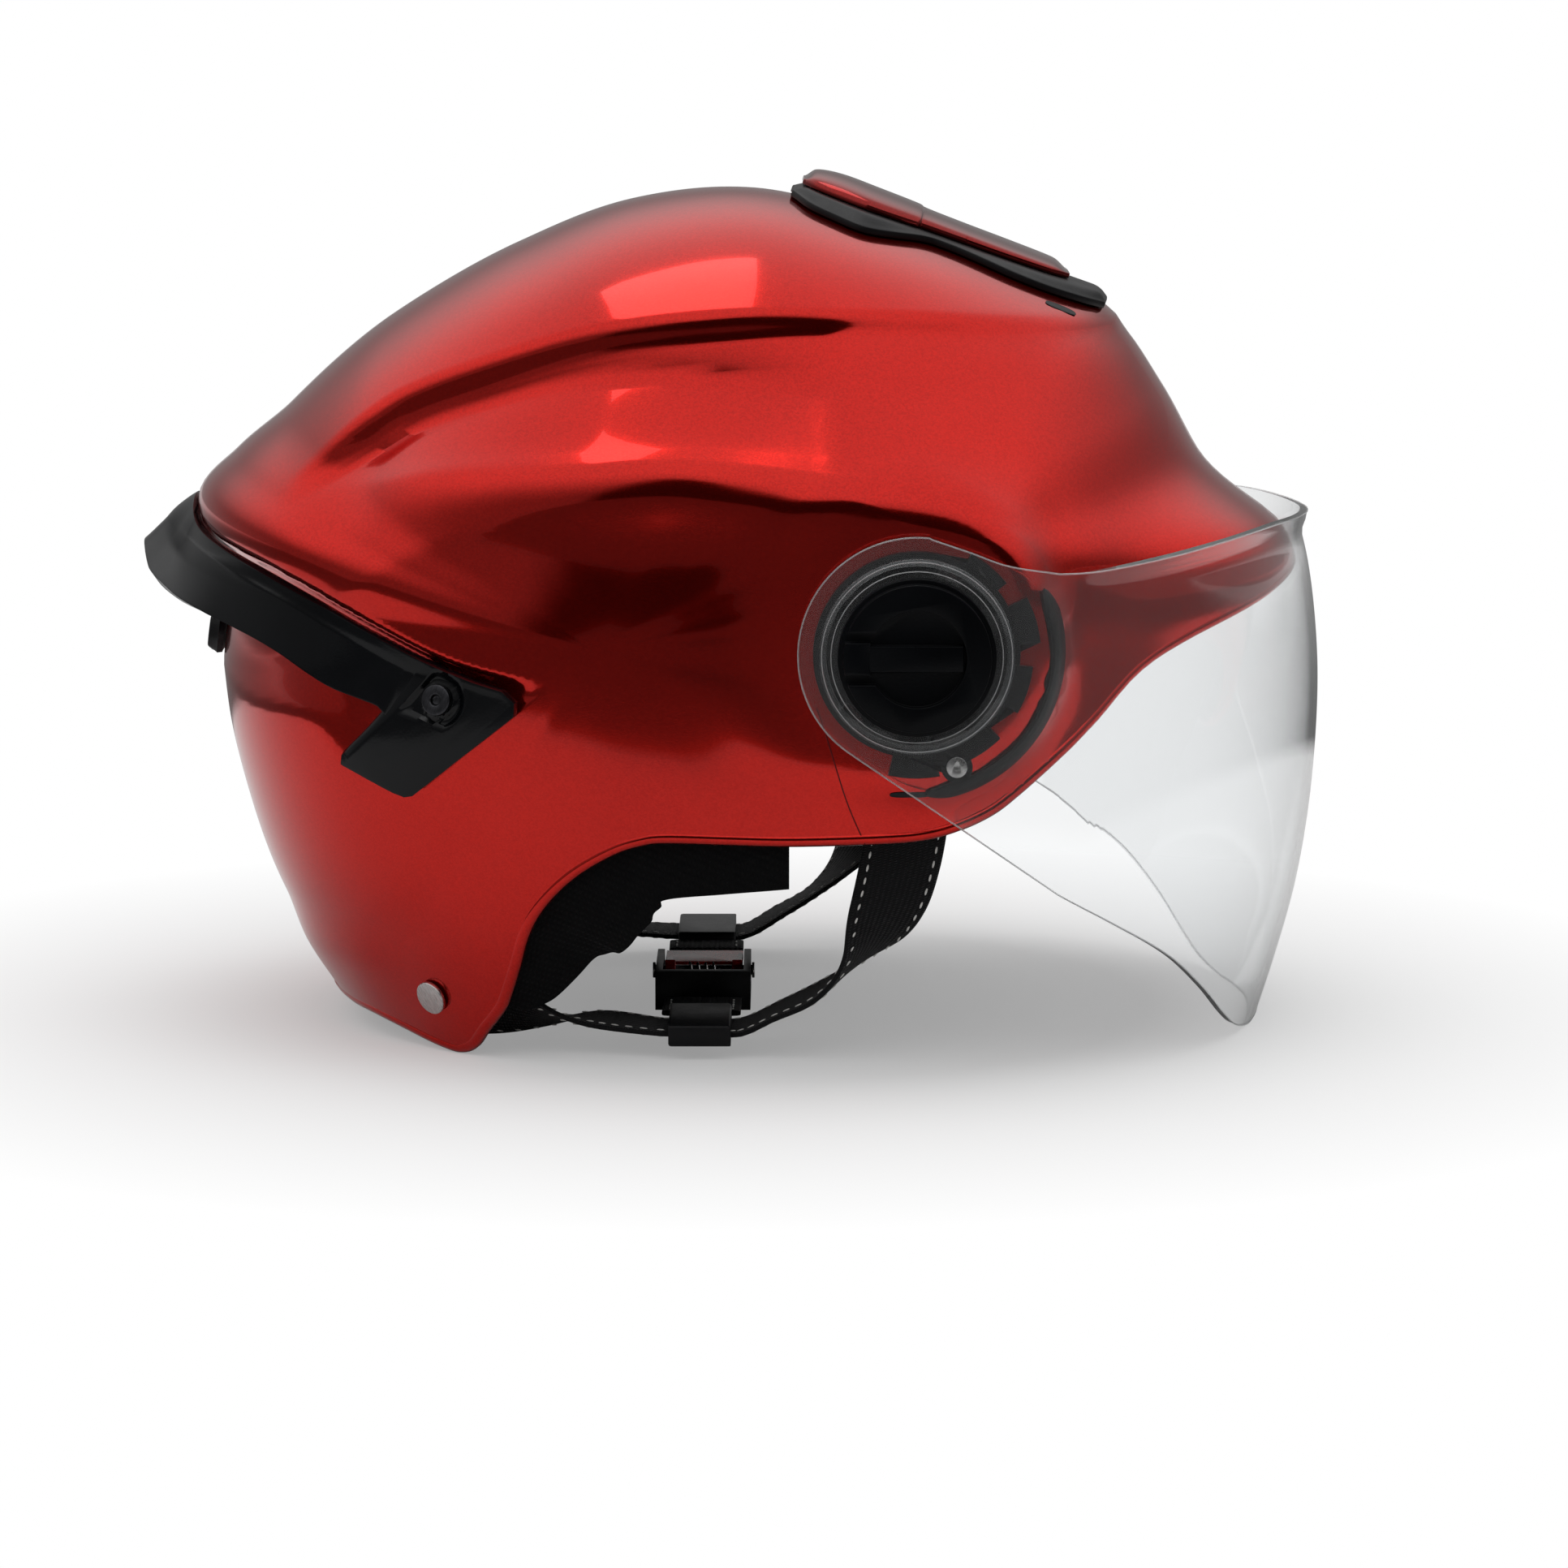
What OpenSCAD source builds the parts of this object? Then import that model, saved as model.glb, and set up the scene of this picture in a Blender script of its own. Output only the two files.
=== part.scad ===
// Open-face motorcycle helmet with a clear visor that swings up.
// +X is forward, +Y is the wearer's left, +Z is up. The helmet stands on z = 0.

/* [Shell] */
// Half of the dome's greatest width, without the visor pivots
dome_half_w = 114; // [111:1:118]
// Roundness of the dome across its width, where 2 is an ellipse
dome_power = 2.2; // [2.1:0.1:2.4]
// Thickness of the moulded shell
shell_wall = 3.5; // [2.5:0.5:4.5]
// Height of the step under the crest
crest_step = 5; // [2:0.5:7]
// Bulge of the crest above that step
crest_bulge = 3; // [1:0.5:5]
// How far the brim stands out at the front
brim_reach = 14; // [8:1:16]
// How far the side ridge is drawn out behind the pivot
ridge_peak = 2; // [0:0.5:3]
// Height of the brow's fold in front of the scoop
brow_edge = 2; // [0:0.5:3]
// How far the sides stand out round the visor pivots
cheek_out = 6.5; // [4:0.5:8]
// Depth of the hollow under the side ridge
bowl_depth = 1.5; // [0:0.5:4]
// Depth of the ledge that the wing lies in
ledge_depth = 4.5; // [2:0.5:6]
// How far the rolled lower edge stands proud
rim_roll = 1.2; // [0:0.2:2]

/* [Lining] */
// Width of the head cavity in the foam
cavity_w = 176; // [160:1:184]
// Length of the head cavity in the foam
cavity_l = 224; // [200:1:230]
// Height of the head cavity above its widest level
cavity_h = 104; // [90:1:108]
// Thickness of the comfort pads in the middle
pad_thick = 9; // [5:0.5:12]
// Thickness of the comfort pads at their sewn border
pad_border = 3; // [1.5:0.5:4]

/* [Visor] */
// Wall of the clear visor
visor_wall = 2; // [1.5:0.1:2.5]
// Radius of the round ears at the pivots
ear_r = 31.5; // [29:0.5:33]
// Foremost reach of the visor
visor_front = 167.2; // [166:0.2:171]
// How far the lip along the top edge turns out
lip_out = 3; // [1:0.5:4]

/* [Visor pivot] */
// Forward place of the pivot axis
pivot_x = 50.2; // [48:0.1:52]
// Height of the pivot axis
pivot_z = 114; // [112:1:116]
// How far the flat platforms lie inside the dome's greatest width
platform_drop = 2; // [1.5:0.5:3]
// Radius of the flat platform
platform_r = 35; // [33:0.5:37]
// Radius of the hub that the visor turns on
hub_r = 19.5; // [18:0.5:20]
// Thickness of the notched plate
plate_t = 2; // [1.5:0.5:3]
// Radial play of the visor on its hub
hub_play = 0.06; // [0.02:0.01:0.1]
// Radius of the turning cap
cap_r = 21; // [20.5:0.5:22.5]
// Radius of the cap's spigot in the hub
spigot_r = 12; // [10:0.5:13]
// Radius of the clear collar's flange
collar_r = 26; // [25.5:0.5:28]
// Radius of the pivot screw
pivot_screw_r = 3; // [2.5:0.5:3.5]

/* [Wing] */
// Thickness of the wing's plate
wing_t = 3; // [2:0.5:4]
// Clearance of the wing over the shell
wing_gap = 0.8; // [0.6:0.1:1.5]
// Radius of the wing's screws
wing_screw_r = 2; // [1.5:0.25:2.5]

/* [Intake] */
// Height of the intake's frame over the crest at its rear end
intake_h = 3.6; // [3:0.2:6]
// Height of the sliding cover
cover_h = 4.2; // [3:0.2:8]
// Play between the cover and its frame
cover_gap = 0.3; // [0.2:0.1:0.6]

/* [Strap] */
// Width of the webbing
strap_w = 22; // [18:1:25]
// Thickness of the webbing
strap_t = 1.6; // [1.2:0.1:2]
// Radius of the rear rivet's head
rivet_head_r = 4.75; // [4:0.25:6]
// Radius of the rear rivet's shank
rivet_r = 2.4; // [2:0.1:3]

/* [Buckle] */
// Inside width of the buckle
buckle_w = 23; // [22:0.5:26]
// Radius of the buckle's pin
buckle_pin_r = 1.45; // [1.2:0.05:1.8]
// Wire of the lever's spring
spring_wire = 0.5; // [0.4:0.1:0.7]

/* [Hidden] */
$fn = 64;

// Fine clearance between two pieces that are fixed to each other
seat_gap = 0.3;
// Clearance round a screw
hole_play = 0.05;
// Faces that are cut through run on by this much
cut = 1;

// Middle of the dome's side, which every outline is seen from
side_pole = [-35, 115];
// Outline of the bare dome from the side, forward of the brow, over the top, down the back and on
// below the cut edge, where it only keeps the sides wide
dome = [
    [145.5, 131], [139.5, 148], [132, 160], [122, 178], [107, 197], [76, 212], [42, 223.5],
    [6, 232.5], [-27.6, 229.5], [-60, 217], [-92, 198.5], [-124.6, 173], [-140, 160], [-150.5, 148],
    [-146, 128], [-144.4, 103], [-142, 83], [-137.5, 64], [-131, 44], [-119, 20], [-106.5, 0],
    [-87, -36], [-51, -74], [25, -107], [132, -84], [190, 5], [162, 80]
];
// Cut edge of the shell from the side, from the back to the brim
shell_edge = [
    [-112, 9], [-109.7, 7.4], [-105.1, 6.8], [-99, 6], [-88, 2], [-78, -0.8], [-73, -1.2],
    [-68.7, 1.2], [-65.3, 6.5], [-60.8, 13], [-58.9, 17.4], [-56, 26.7], [-53.8, 34.7], [-50.5, 41.6],
    [-45, 48.4], [-38.4, 54], [-29.7, 59], [-23, 61.2], [-16.6, 62], [0, 61.5], [18, 61], [44, 61.5],
    [55, 62.5], [64, 65], [72.7, 69], [79.4, 74], [88, 82], [97, 91], [109, 104.5], [122, 113.2],
    [136, 120.5], [140, 122.9], [143, 124.7], [145, 126]
];
// Edge of the foam, inside the shell's
foam_edge = [
    [-127, 40], [-126, 36.5], [-120, 34.5], [-112.5, 32.5], [-104, 32], [-88, 30], [-72, 33],
    [-64, 41], [-57, 50], [-48, 59], [-36, 66.5], [-18, 71], [2, 71], [20, 70.5], [40, 71], [54, 73],
    [68, 79], [80, 88], [91, 100], [99, 112], [107, 125], [116, 137], [128, 147], [138, 151]
];
// Line of the crest's step, of the ridge that ends in the brim, and of the wing's ledge: height over x
crest_line = [
    [-124, 152.5], [-109, 162.8], [-97.6, 171], [-86.5, 178], [-64.5, 186.6], [-42.8, 193.5],
    [-25, 197], [0, 199], [22, 199.3], [66, 197], [110, 196]
];
ridge_line = [
    [-124, 152.5], [-97, 156.8], [-72.7, 159.8], [-42, 160.8], [-10, 161.3], [22, 155.7], [40, 149],
    [55, 143.4], [77, 135.2], [97, 132.6], [120, 132.5], [150, 134]
];
ledge_line = [
    [-156, 150], [-147, 139.8], [-135, 135.8], [-125, 132.7], [-97, 120], [-75, 110], [-58.5, 105.6],
    [-41, 100]
];
ridge_bulge = 3;
// Height of the scoop's wall under the crest over x
scoop_height = [[-124, 5], [-60, 6], [-23, 8.5], [2, 12], [20, 13.5], [36, 13.5]];
// Line where the wing's ledge runs out below
ledge_foot = [[-156, 39], [-116, 63], [-82, 83.5], [-49, 103], [-41, 106]];

// Curves through hand-set points
function ease(a, b, x) = let (t = min(1, max(0, (x - a) / (b - a)))) t * t * (3 - 2 * t);
function mix(a, b, t) = a * (1 - t) + b * t;
function unit(v) = v / norm(v);
function bell(x, width) = exp(-pow(x / width, 2));
function slope_at(p, k) =
    let (a = p[max(k - 1, 0)], b = p[min(k + 1, len(p) - 1)]) (b[1] - a[1]) / (b[0] - a[0]);
function height_on(p, x) =
    x <= p[0][0] ? p[0][1] :
    x >= p[len(p) - 1][0] ? p[len(p) - 1][1] :
    let (
        k = max([for (i = [0 : len(p) - 2]) if (p[i][0] <= x) i]),
        step = p[k + 1][0] - p[k][0],
        t = (x - p[k][0]) / step,
        leave = slope_at(p, k) * (t * t * t - 2 * t * t + t),
        arrive = slope_at(p, k + 1) * (t * t * t - t * t)
    )
    mix(p[k][1], p[k + 1][1], t * t * (3 - 2 * t)) + step * (leave + arrive);
// A smooth route through a list of points, with a few steps between each two
function route_part(p, k, t) =
    let (
        a = p[max(k - 1, 0)], b = p[k], c = p[k + 1], d = p[min(k + 2, len(p) - 1)]
    )
    0.5 * (2 * b + (c - a) * t + (2 * a - 5 * b + 4 * c - d) * t * t + (3 * b - a - 3 * c + d) * t * t * t);
function smooth_route(p, steps) =
    concat([for (k = [0 : len(p) - 2], i = [0 : steps - 1]) route_part(p, k, i / steps)], [p[len(p) - 1]]);

// The dome. A place on it is an angle round the side's middle and a turn from there to the rim.
function side_angle(p) = let (a = atan2(p[1] - side_pole[1], p[0] - side_pole[0])) a < 0 ? a + 360 : a;
dome_polar = [for (p = dome) [side_angle(p), norm(p - side_pole)]];
dome_last = len(dome) - 1;
dome_ring = concat(
    [for (k = [dome_last - 1 : dome_last]) dome_polar[k] - [360, 0]],
    dome_polar,
    [for (k = [0 : 1]) dome_polar[k] + [360, 0]]
);
function dome_reach(angle) = height_on(dome_ring, angle - 360 * floor(angle / 360));
function turn_of(p) =
    asin(min(1, pow(norm(p - side_pole) / dome_reach(side_angle(p)), dome_power / 2)));
function turn_at_y(y) = acos(pow(min(1, abs(y) / dome_half_w), dome_power / 2));

// A fold that is sharp at its line and fades on both sides
function keen(over, width) = exp((1.5 - norm([over, 1.5])) / width);

// What stands out from the bare dome at a place seen from the side
function relief(x, z) =
    let (
        over_crest = z - height_on(crest_line, x),
        over_ridge = z - height_on(ridge_line, x),
        over_ledge = z - height_on(ledge_line, x),
        rear = ease(-124, -95, x),
        front = ease(30, 95, x),
        above = ease(-3, 2.5, over_crest),
        crest = mix(crest_bulge * rear, crest_bulge / 2, front) * above * bell(max(over_crest, 0), 26),
        wall = height_on(scoop_height, x),
        down = max(-over_crest, 0),
        scoop = down < wall ? down / wall : max(0, 1 - (down - wall) / 34),
        undercut = crest_step * rear * (1 - ease(26, 35, x)) * scoop,
        brow = brow_edge * ease(24, 60, x) * (1 - 0.6 * ease(86, 108, x)) * keen(over_crest, 9),
        brim = (brim_reach - 2 * ridge_bulge + 0.5) * ease(97, 140, x),
        peak = ridge_peak * ease(-105, -70, x) * (1 - ease(0, 45, x)),
        ridge_out = ridge_bulge * ease(-124, -80, x) + (ridge_bulge - 0.5) * ease(40, 97, x) + brim + peak,
        ridge_width = over_ridge > 0 ? 13 : 16 + 6 * ease(60, 110, x),
        ridge_round = bell(over_ridge, ridge_width),
        ridge = over_ridge > 0 ? mix(keen(over_ridge, 9), ridge_round, ease(20, 75, x)) : ridge_round,
        ledge_fall = height_on(ledge_line, x) - height_on(ledge_foot, x),
        ledge_down = max(-over_ledge, 0),
        ledge_most = min(ledge_depth * bell(ledge_down, 38), 0.2 * max(0, ledge_fall - ledge_down)),
        ledge = ledge_most * (1 - ease(-2, 2, over_ledge)),
        under = min(over_ridge, 0),
        bowl_span = ease(-100, -62, x) * (1 - ease(-4, 26, x)) * ease(62, 86, z),
        bowl = bowl_depth * bowl_span * (1 - bell(under, 12)) * bell(under + 10, 45),
        flare = 1.8 * (1 - ease(22, 36, z)) * (1 - ease(-104, -86, x)),
        cheek_level = ease(72, 108, z) * (1 - ease(150, 185, z)),
        cheek = cheek_out * ease(-10, 50, x) * (1 - ease(70, 125, x)) * cheek_level
    )
    crest - undercut + brow + ridge_out * ridge - ledge - bowl + flare + cheek;

// The flat platforms of the visor pivots: a step in front and below, a long fade above and behind
platform_y = dome_half_w - platform_drop;
platform_blend = 9;
platform_fade = 18;
function flatten(p, lift) =
    let (
        side = [p[0] - pivot_x, p[2] - pivot_z],
        way = atan2(side[1], side[0]),
        soft = max(ease(25, 75, way), 1 - ease(-140, -88, way)),
        flat = 1 - ease(platform_r, platform_r + mix(platform_blend, platform_fade, soft), norm(side))
    )
    [p[0], mix(p[1], -(platform_y + lift), flat), p[2]];

// A point of the bare dome's right half at an angle and a turn
function dome_point(angle, turn) =
    let (
        reach = dome_reach(angle) * pow(sin(turn), 2 / dome_power),
        y = turn >= 90 ? 0 : dome_half_w * pow(cos(turn), 2 / dome_power)
    )
    [side_pole[0] + reach * cos(angle), -y, side_pole[1] + reach * sin(angle)];
dome_mid = [side_pole[0], 0, side_pole[1]];
function grown(p, lift) = p + unit(p - dome_mid) * lift;
// The same with what stands out, lifted off the shell's outer face
function shell_point(angle, turn, lift) =
    let (
        bare = dome_point(angle, turn),
        p = grown(bare, relief(bare[0], bare[2]) + lift)
    )
    turn >= 90 ? p : flatten(p, lift);
function shell_at(p, lift) = shell_point(side_angle(p), turn_of(p), lift);
// Outward direction of the shell at a place seen from the side
function shell_normal(p) =
    let (d = 2)
    unit(cross(
        shell_at(p + [d, 0], 0) - shell_at(p - [d, 0], 0),
        shell_at(p + [0, d], 0) - shell_at(p - [0, d], 0)
    ));

// Columns from the side's middle to the rim: over the top first, then along a cut edge
function rim_angles(from, to) = concat(
    [for (k = [0 : 5]) mix(from, 20, k / 6)],
    [for (k = [0 : 19]) mix(20, 160, k / 20)],
    [for (k = [0 : 12]) mix(160, to, k / 12)]
);
function rim_columns(edge) = concat(
    [for (a = rim_angles(side_angle(edge[len(edge) - 1]), side_angle(edge[0]))) [a, 90]],
    [for (k = [1 : len(edge) - 2]) [side_angle(edge[k]), turn_of(edge[k])]]
);
rim_top = 39;
// Turn at which a column crosses a line, by halving
function turn_on(line, angle, low, high, left) =
    left == 0 ? (low + high) / 2 :
    let (
        turn = (low + high) / 2,
        reach = dome_reach(angle) * pow(sin(turn), 2 / dome_power),
        over = side_pole[1] + reach * sin(angle) - height_on(line, side_pole[0] + reach * cos(angle))
    )
    over > 0 ? turn_on(line, angle, low, turn, left - 1) : turn_on(line, angle, turn, high, left - 1);
// Turns of the rows of one column, drawn to the ridge and to the crest's step where it has them
rows = 11;
function column_rows(column) =
    column[1] >= 90 && column[0] > 12 && column[0] < 155 ?
        let (
            ridge = turn_on(ridge_line, column[0], 0, 90, 12),
            crest = turn_on(crest_line, column[0], 0, 90, 12),
            low = crest - 2.2,
            high = crest + 2
        )
        crest > 82 || crest < ridge + 8 ?
            concat(
                [for (k = [1 : 4]) ridge * k / 4],
                [for (k = [1 : rows - 4]) mix(ridge, 90, k / (rows - 4))]
            ) :
            concat(
                [for (k = [1 : 4]) ridge * k / 4],
                [mix(ridge, low, 0.5), low, high],
                [for (k = [1 : rows - 7]) mix(high, 90, k / (rows - 7))]
            ) :
        [for (k = [1 : rows]) column[1] * (k == rows ? 1 : k / rows)];

// A closed wall between two layers of such columns, both halves in one piece. A layer is its middle
// point and its columns of the right half; the first columns end on the plane of symmetry.
function flip(p) = [p[0], -p[1], p[2]];
function layer_points(layer, top) = concat(
    [layer[0]],
    [for (c = layer[1], p = c) p],
    [flip(layer[0])],
    [for (j = [0 : len(layer[1]) - 1], i = [0 : rows - (j < top ? 2 : 1)]) flip(layer[1][j][i])]
);
function corner(start, side, j, i, count, top) =
    let (half = 1 + count * rows)
    side == 0 ? (i == 0 ? start : start + 1 + j * rows + i - 1) :
    i == 0 ? start + half :
    i == rows && j < top ? start + 1 + j * rows + i - 1 :
    start + half + 1 + (j < top ? j * (rows - 1) : top * (rows - 1) + (j - top) * rows) + i - 1;
function turned(face, on) = on ? [face[2], face[1], face[0]] : face;
// Each four-cornered patch is split along its shorter diagonal
function layer_faces(points, start, count, top, inside) = [
    for (side = [0 : 1], j = [0 : count - 1], i = [0 : rows - 1])
        let (
            n = (j + 1) % count,
            back = side == 1 != inside,
            a = corner(start, side, j, i, count, top),
            b = corner(start, side, j, i + 1, count, top),
            c = corner(start, side, n, i + 1, count, top),
            d = corner(start, side, n, i, count, top)
        )
        each i == 0 ? [turned([a, c, b], back)] :
            norm(points[a] - points[c]) < norm(points[b] - points[d]) ?
                [turned([a, c, b], back), turned([a, d, c], back)] :
                [turned([a, d, b], back), turned([b, d, c], back)]
];
function rim_faces(start, next, count, top) = [
    for (side = [0 : 1], j = [top - 1 : count - 1])
        let (
            n = (j + 1) % count,
            a = corner(start, side, j, rows, count, top),
            b = corner(start, side, n, rows, count, top),
            c = corner(next, side, n, rows, count, top),
            d = corner(next, side, j, rows, count, top)
        )
        each [turned([a, b, c], side == 1), turned([a, c, d], side == 1)]
];
module dome_wall(outer, inner, top) {
    count = len(outer[1]);
    outer_points = layer_points(outer, top);
    next = len(outer_points);
    points = concat(outer_points, layer_points(inner, top));
    polyhedron(
        points,
        concat(
            layer_faces(points, 0, count, top, false),
            layer_faces(points, next, count, top, true),
            rim_faces(0, next, count, top)
        )
    );
}

// A closed plate between two grids of points, given as columns
module plate_wall(upper, lower) {
    columns = len(upper);
    high = len(upper[0]);
    size = columns * high;
    border = concat(
        [for (j = [0 : columns - 1]) j * high],
        [for (i = [1 : high - 1]) (columns - 1) * high + i],
        [for (j = [columns - 2 : -1 : 0]) j * high + high - 1],
        [for (i = [high - 2 : -1 : 1]) i]
    );
    polyhedron(
        concat([for (c = upper, p = c) p], [for (c = lower, p = c) p]),
        concat(
            [for (j = [0 : columns - 2], i = [0 : high - 2])
                let (a = j * high + i, b = a + high)
                each [[a, b + 1, b], [a, a + 1, b + 1]]],
            [for (j = [0 : columns - 2], i = [0 : high - 2])
                let (a = size + j * high + i, b = a + high)
                each [[a, b, b + 1], [a, b + 1, a + 1]]],
            [for (k = [0 : len(border) - 1])
                let (a = border[k], b = border[(k + 1) % len(border)])
                each [[a, b, b + size], [a, b + size, a + size]]]
        )
    );
}

// A flat band along a route, with the direction of its width at each point
module band(route, widths, wide, thick) {
    last = len(route) - 1;
    rings = [for (k = [0 : last])
        let (
            along = unit(route[min(k + 1, last)] - route[max(k - 1, 0)]),
            across = unit(widths[k] - along * (widths[k] * along)),
            out = cross(along, across)
        )
        [for (s = [[-1, -1], [1, -1], [1, 1], [-1, 1]])
            route[k] + across * s[0] * wide / 2 + out * s[1] * thick / 2]];
    polyhedron(
        [for (r = rings, p = r) p],
        concat(
            [[0, 1, 2], [0, 2, 3]],
            [for (k = [0 : last - 1], i = [0 : 3])
                let (a = k * 4 + i, b = k * 4 + (i + 1) % 4)
                each [[a, a + 4, b + 4], [a, b + 4, b]]],
            [[last * 4, last * 4 + 2, last * 4 + 1], [last * 4, last * 4 + 3, last * 4 + 2]]
        )
    );
}

// Placing helpers
module aim(p, direction) {
    translate(p)
        rotate([0, acos(direction[2]), atan2(direction[1], direction[0])])
            children();
}
module both_sides() {
    children();
    to_left()
        children();
}
module to_left() {
    mirror([0, 1, 0])
        children();
}
// Turns a shape drawn along +Z to point out of the right side, at the pivot
module at_pivot() {
    translate([pivot_x, 0, pivot_z])
        rotate([90, 0, 0])
            children();
}
// Everything under the plane that the helmet stands on
module below_floor() {
    wide = 4 * dome_half_w;
    translate([-wide / 2, -wide / 2, -wide])
        cube(wide);
}
module ring(outer, inner, low, high) {
    translate([0, 0, low])
        difference() {
            cylinder(r = outer, h = high - low);
            translate([0, 0, -cut])
                cylinder(r = inner, h = high - low + 2 * cut);
        }
}
module disc(radius, low, high) {
    translate([0, 0, low])
        cylinder(r = radius, h = high - low);
}

// Heights over the middle plane of what is stacked on each pivot
plate_low = platform_y + 0.1;
plate_top = plate_low + plate_t;
visor_low = plate_top + 0.5;
visor_top = visor_low + visor_wall;
collar_top = visor_top + 1.9;
hub_top = collar_top + 0.1;
cap_low = hub_top + 0.3;
cap_top = cap_low + 3.2;
grip_top = cap_top + 1.6;
platform_in = platform_y - shell_wall;
anchor_t = 1.6;
anchor_out = platform_in - 0.2;
anchor_in = anchor_out - anchor_t;
nut_h = 5;
strap_front_y = anchor_in - 0.2 - strap_t / 2;

// Wing screws and rear rivets
wing_screw_at = [-75.4, 100.2];
wing_screw_dir = shell_normal(wing_screw_at);
rivet_at = [-80.6, 16.5];
rivet_dir = shell_normal(rivet_at);
wing_head_r = 4.2;
wing_nut_h = 3.2;
plate_screw_r = 1.4;
plate_screw_at = [10.8, -30];

module outer_shell() {
    columns = rim_columns(shell_edge);
    color("firebrick")
        difference() {
            dome_wall(
                [shell_point(0, 0, 0), [for (c = columns)
                    let (turns = column_rows(c))
                    [for (k = [0 : rows - 1])
                        shell_point(c[0], turns[k], c[1] < 90 && k == rows - 1 ? rim_roll : 0)]]],
                [shell_point(0, 0, -shell_wall), [for (c = columns)
                    [for (turn = column_rows(c)) shell_point(c[0], turn, -shell_wall)]]],
                rim_top
            );
            at_pivot()
                cylinder(r = pivot_screw_r + hole_play, h = 2 * dome_half_w + 20, center = true);
            both_sides() {
                aim(shell_at(wing_screw_at, 0), wing_screw_dir)
                    cylinder(r = wing_screw_r + hole_play, h = 30, center = true);
                aim(shell_at(rivet_at, 0), rivet_dir)
                    cylinder(r = rivet_r + hole_play, h = 30, center = true);
                translate([plate_screw_at[0], 0, plate_screw_at[1]])
                    at_pivot()
                        disc(plate_screw_r + hole_play, platform_in - 8, platform_y + 8);
            }
            intake_window();
            below_floor();
        }
}

// The head cavity is an egg in the foam
cavity_mid = [-14, 0, 100];
cavity_half = [cavity_l / 2, cavity_w / 2, cavity_h];
function cavity_reach(d) = 1 / norm([d[0] / cavity_half[0], d[1] / cavity_half[1], d[2] / cavity_half[2]]);
function cavity_toward(p) = let (d = unit(p - cavity_mid)) cavity_mid + d * cavity_reach(d);
// The foam is a plain dome that clears the deepest step on the shell's inside
foam_gap = 1;
foam_clear = max(crest_step, ledge_depth) + 0.3;
function foam_point(angle, turn) =
    let (p = dome_point(angle, turn))
    grown(p, -(shell_wall + foam_gap + foam_clear * ease(62, 84, p[2])));

module foam_liner() {
    columns = rim_columns(foam_edge);
    outer = [for (c = columns) [for (k = [1 : rows]) foam_point(c[0], k == rows ? c[1] : c[1] * k / rows)]];
    outer_mid = foam_point(0, 0);
    color("dimgray")
        difference() {
            dome_wall(
                [outer_mid, outer],
                [cavity_toward(outer_mid), [for (c = outer) [for (p = c) cavity_toward(p)]]],
                rim_top
            );
            both_sides() {
                // Room for the anchor plate, the nut and the strap
                translate([pivot_x - 17, -200, pivot_z - 90])
                    cube([34, 200 - anchor_in + nut_h + 3, 106]);
                aim(shell_at(wing_screw_at, 0), wing_screw_dir)
                    cylinder(r = 7, h = 24, center = true);
            }
            intake_window();
        }
}

// A sewn pad on the cavity's wall: its middle and half-spans are turns round and up from the middle
function pad_point(round, up, deep) =
    let (
        d = [cos(round) * cos(up), sin(round) * cos(up), sin(up)]
    )
    cavity_mid + d * (cavity_reach(d) - deep);
pad_draw_in = 0.05;
pad_gap = 1.3;
channel_depth = 0.45;
function pad_depth(u, v, channels) =
    let (
        crown = sqrt(max(0, 1 - u * u)) * sqrt(max(0, 1 - v * v)),
        seams = max([0, for (c = channels) bell(u - c, 0.09)])
    )
    pad_border + (pad_thick - pad_border) * crown * (1 - channel_depth * seams);
module pad(middle, half, channels) {
    columns = 16;
    high = 8;
    grid = [for (j = [0 : columns]) [for (i = [0 : high])
        let (u = 2 * j / columns - 1, v = 2 * i / high - 1)
        [u, v, middle[0] + half[0] * u * (1 - pad_draw_in * (1 - v * v)),
            middle[1] + half[1] * v * (1 - pad_draw_in * (1 - u * u))]]];
    color("black")
        plate_wall(
            [for (c = grid) [for (g = c) pad_point(g[2], g[3], pad_gap)]],
            [for (c = grid) [for (g = c) pad_point(g[2], g[3], pad_gap + pad_depth(g[0], g[1], channels))]]
        );
}
module crown_pad() {
    reach = 40;
    grid = [for (j = [0 : 12]) [for (i = [0 : 12])
        let (
            u = j / 6 - 1,
            v = i / 6 - 1,
            x = u * sqrt(1 - v * v / 2),
            y = v * sqrt(1 - u * u / 2)
        )
        [x, y]]];
    function place(g, deep) =
        let (
            out = min(1, norm(g)),
            tilt = reach * out,
            way = out == 0 ? [0, 0] : g / norm(g),
            d = [way[0] * sin(tilt), way[1] * sin(tilt), cos(tilt)]
        )
        cavity_mid + d * (cavity_reach(d) - deep);
    function depth(g) =
        let (
            crown = sqrt(max(0, 1 - g * g)),
            seams = max(bell(abs(g[1]) - 0.38, 0.09), bell(g[0], 0.09))
        )
        pad_border + (pad_thick - pad_border) * crown * (1 - channel_depth * seams);
    color("black")
        plate_wall(
            [for (c = grid) [for (g = c) place(g, pad_gap)]],
            [for (c = grid) [for (g = c) place(g, pad_gap + depth(g))]]
        );
}
module brow_pad() {
    pad([0, 32], [44, 10], [-0.5, 0, 0.5]);
}
module neck_pad() {
    pad([180, -14], [38, 17], [-0.45, 0.45]);
}
ear_middle = [-88, -4];
ear_half = [34, 20];
module ear_pad_right() {
    pad(ear_middle, ear_half, [-0.35, 0.35]);
}
module ear_pad_left() {
    to_left()
        ear_pad_right();
}

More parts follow.
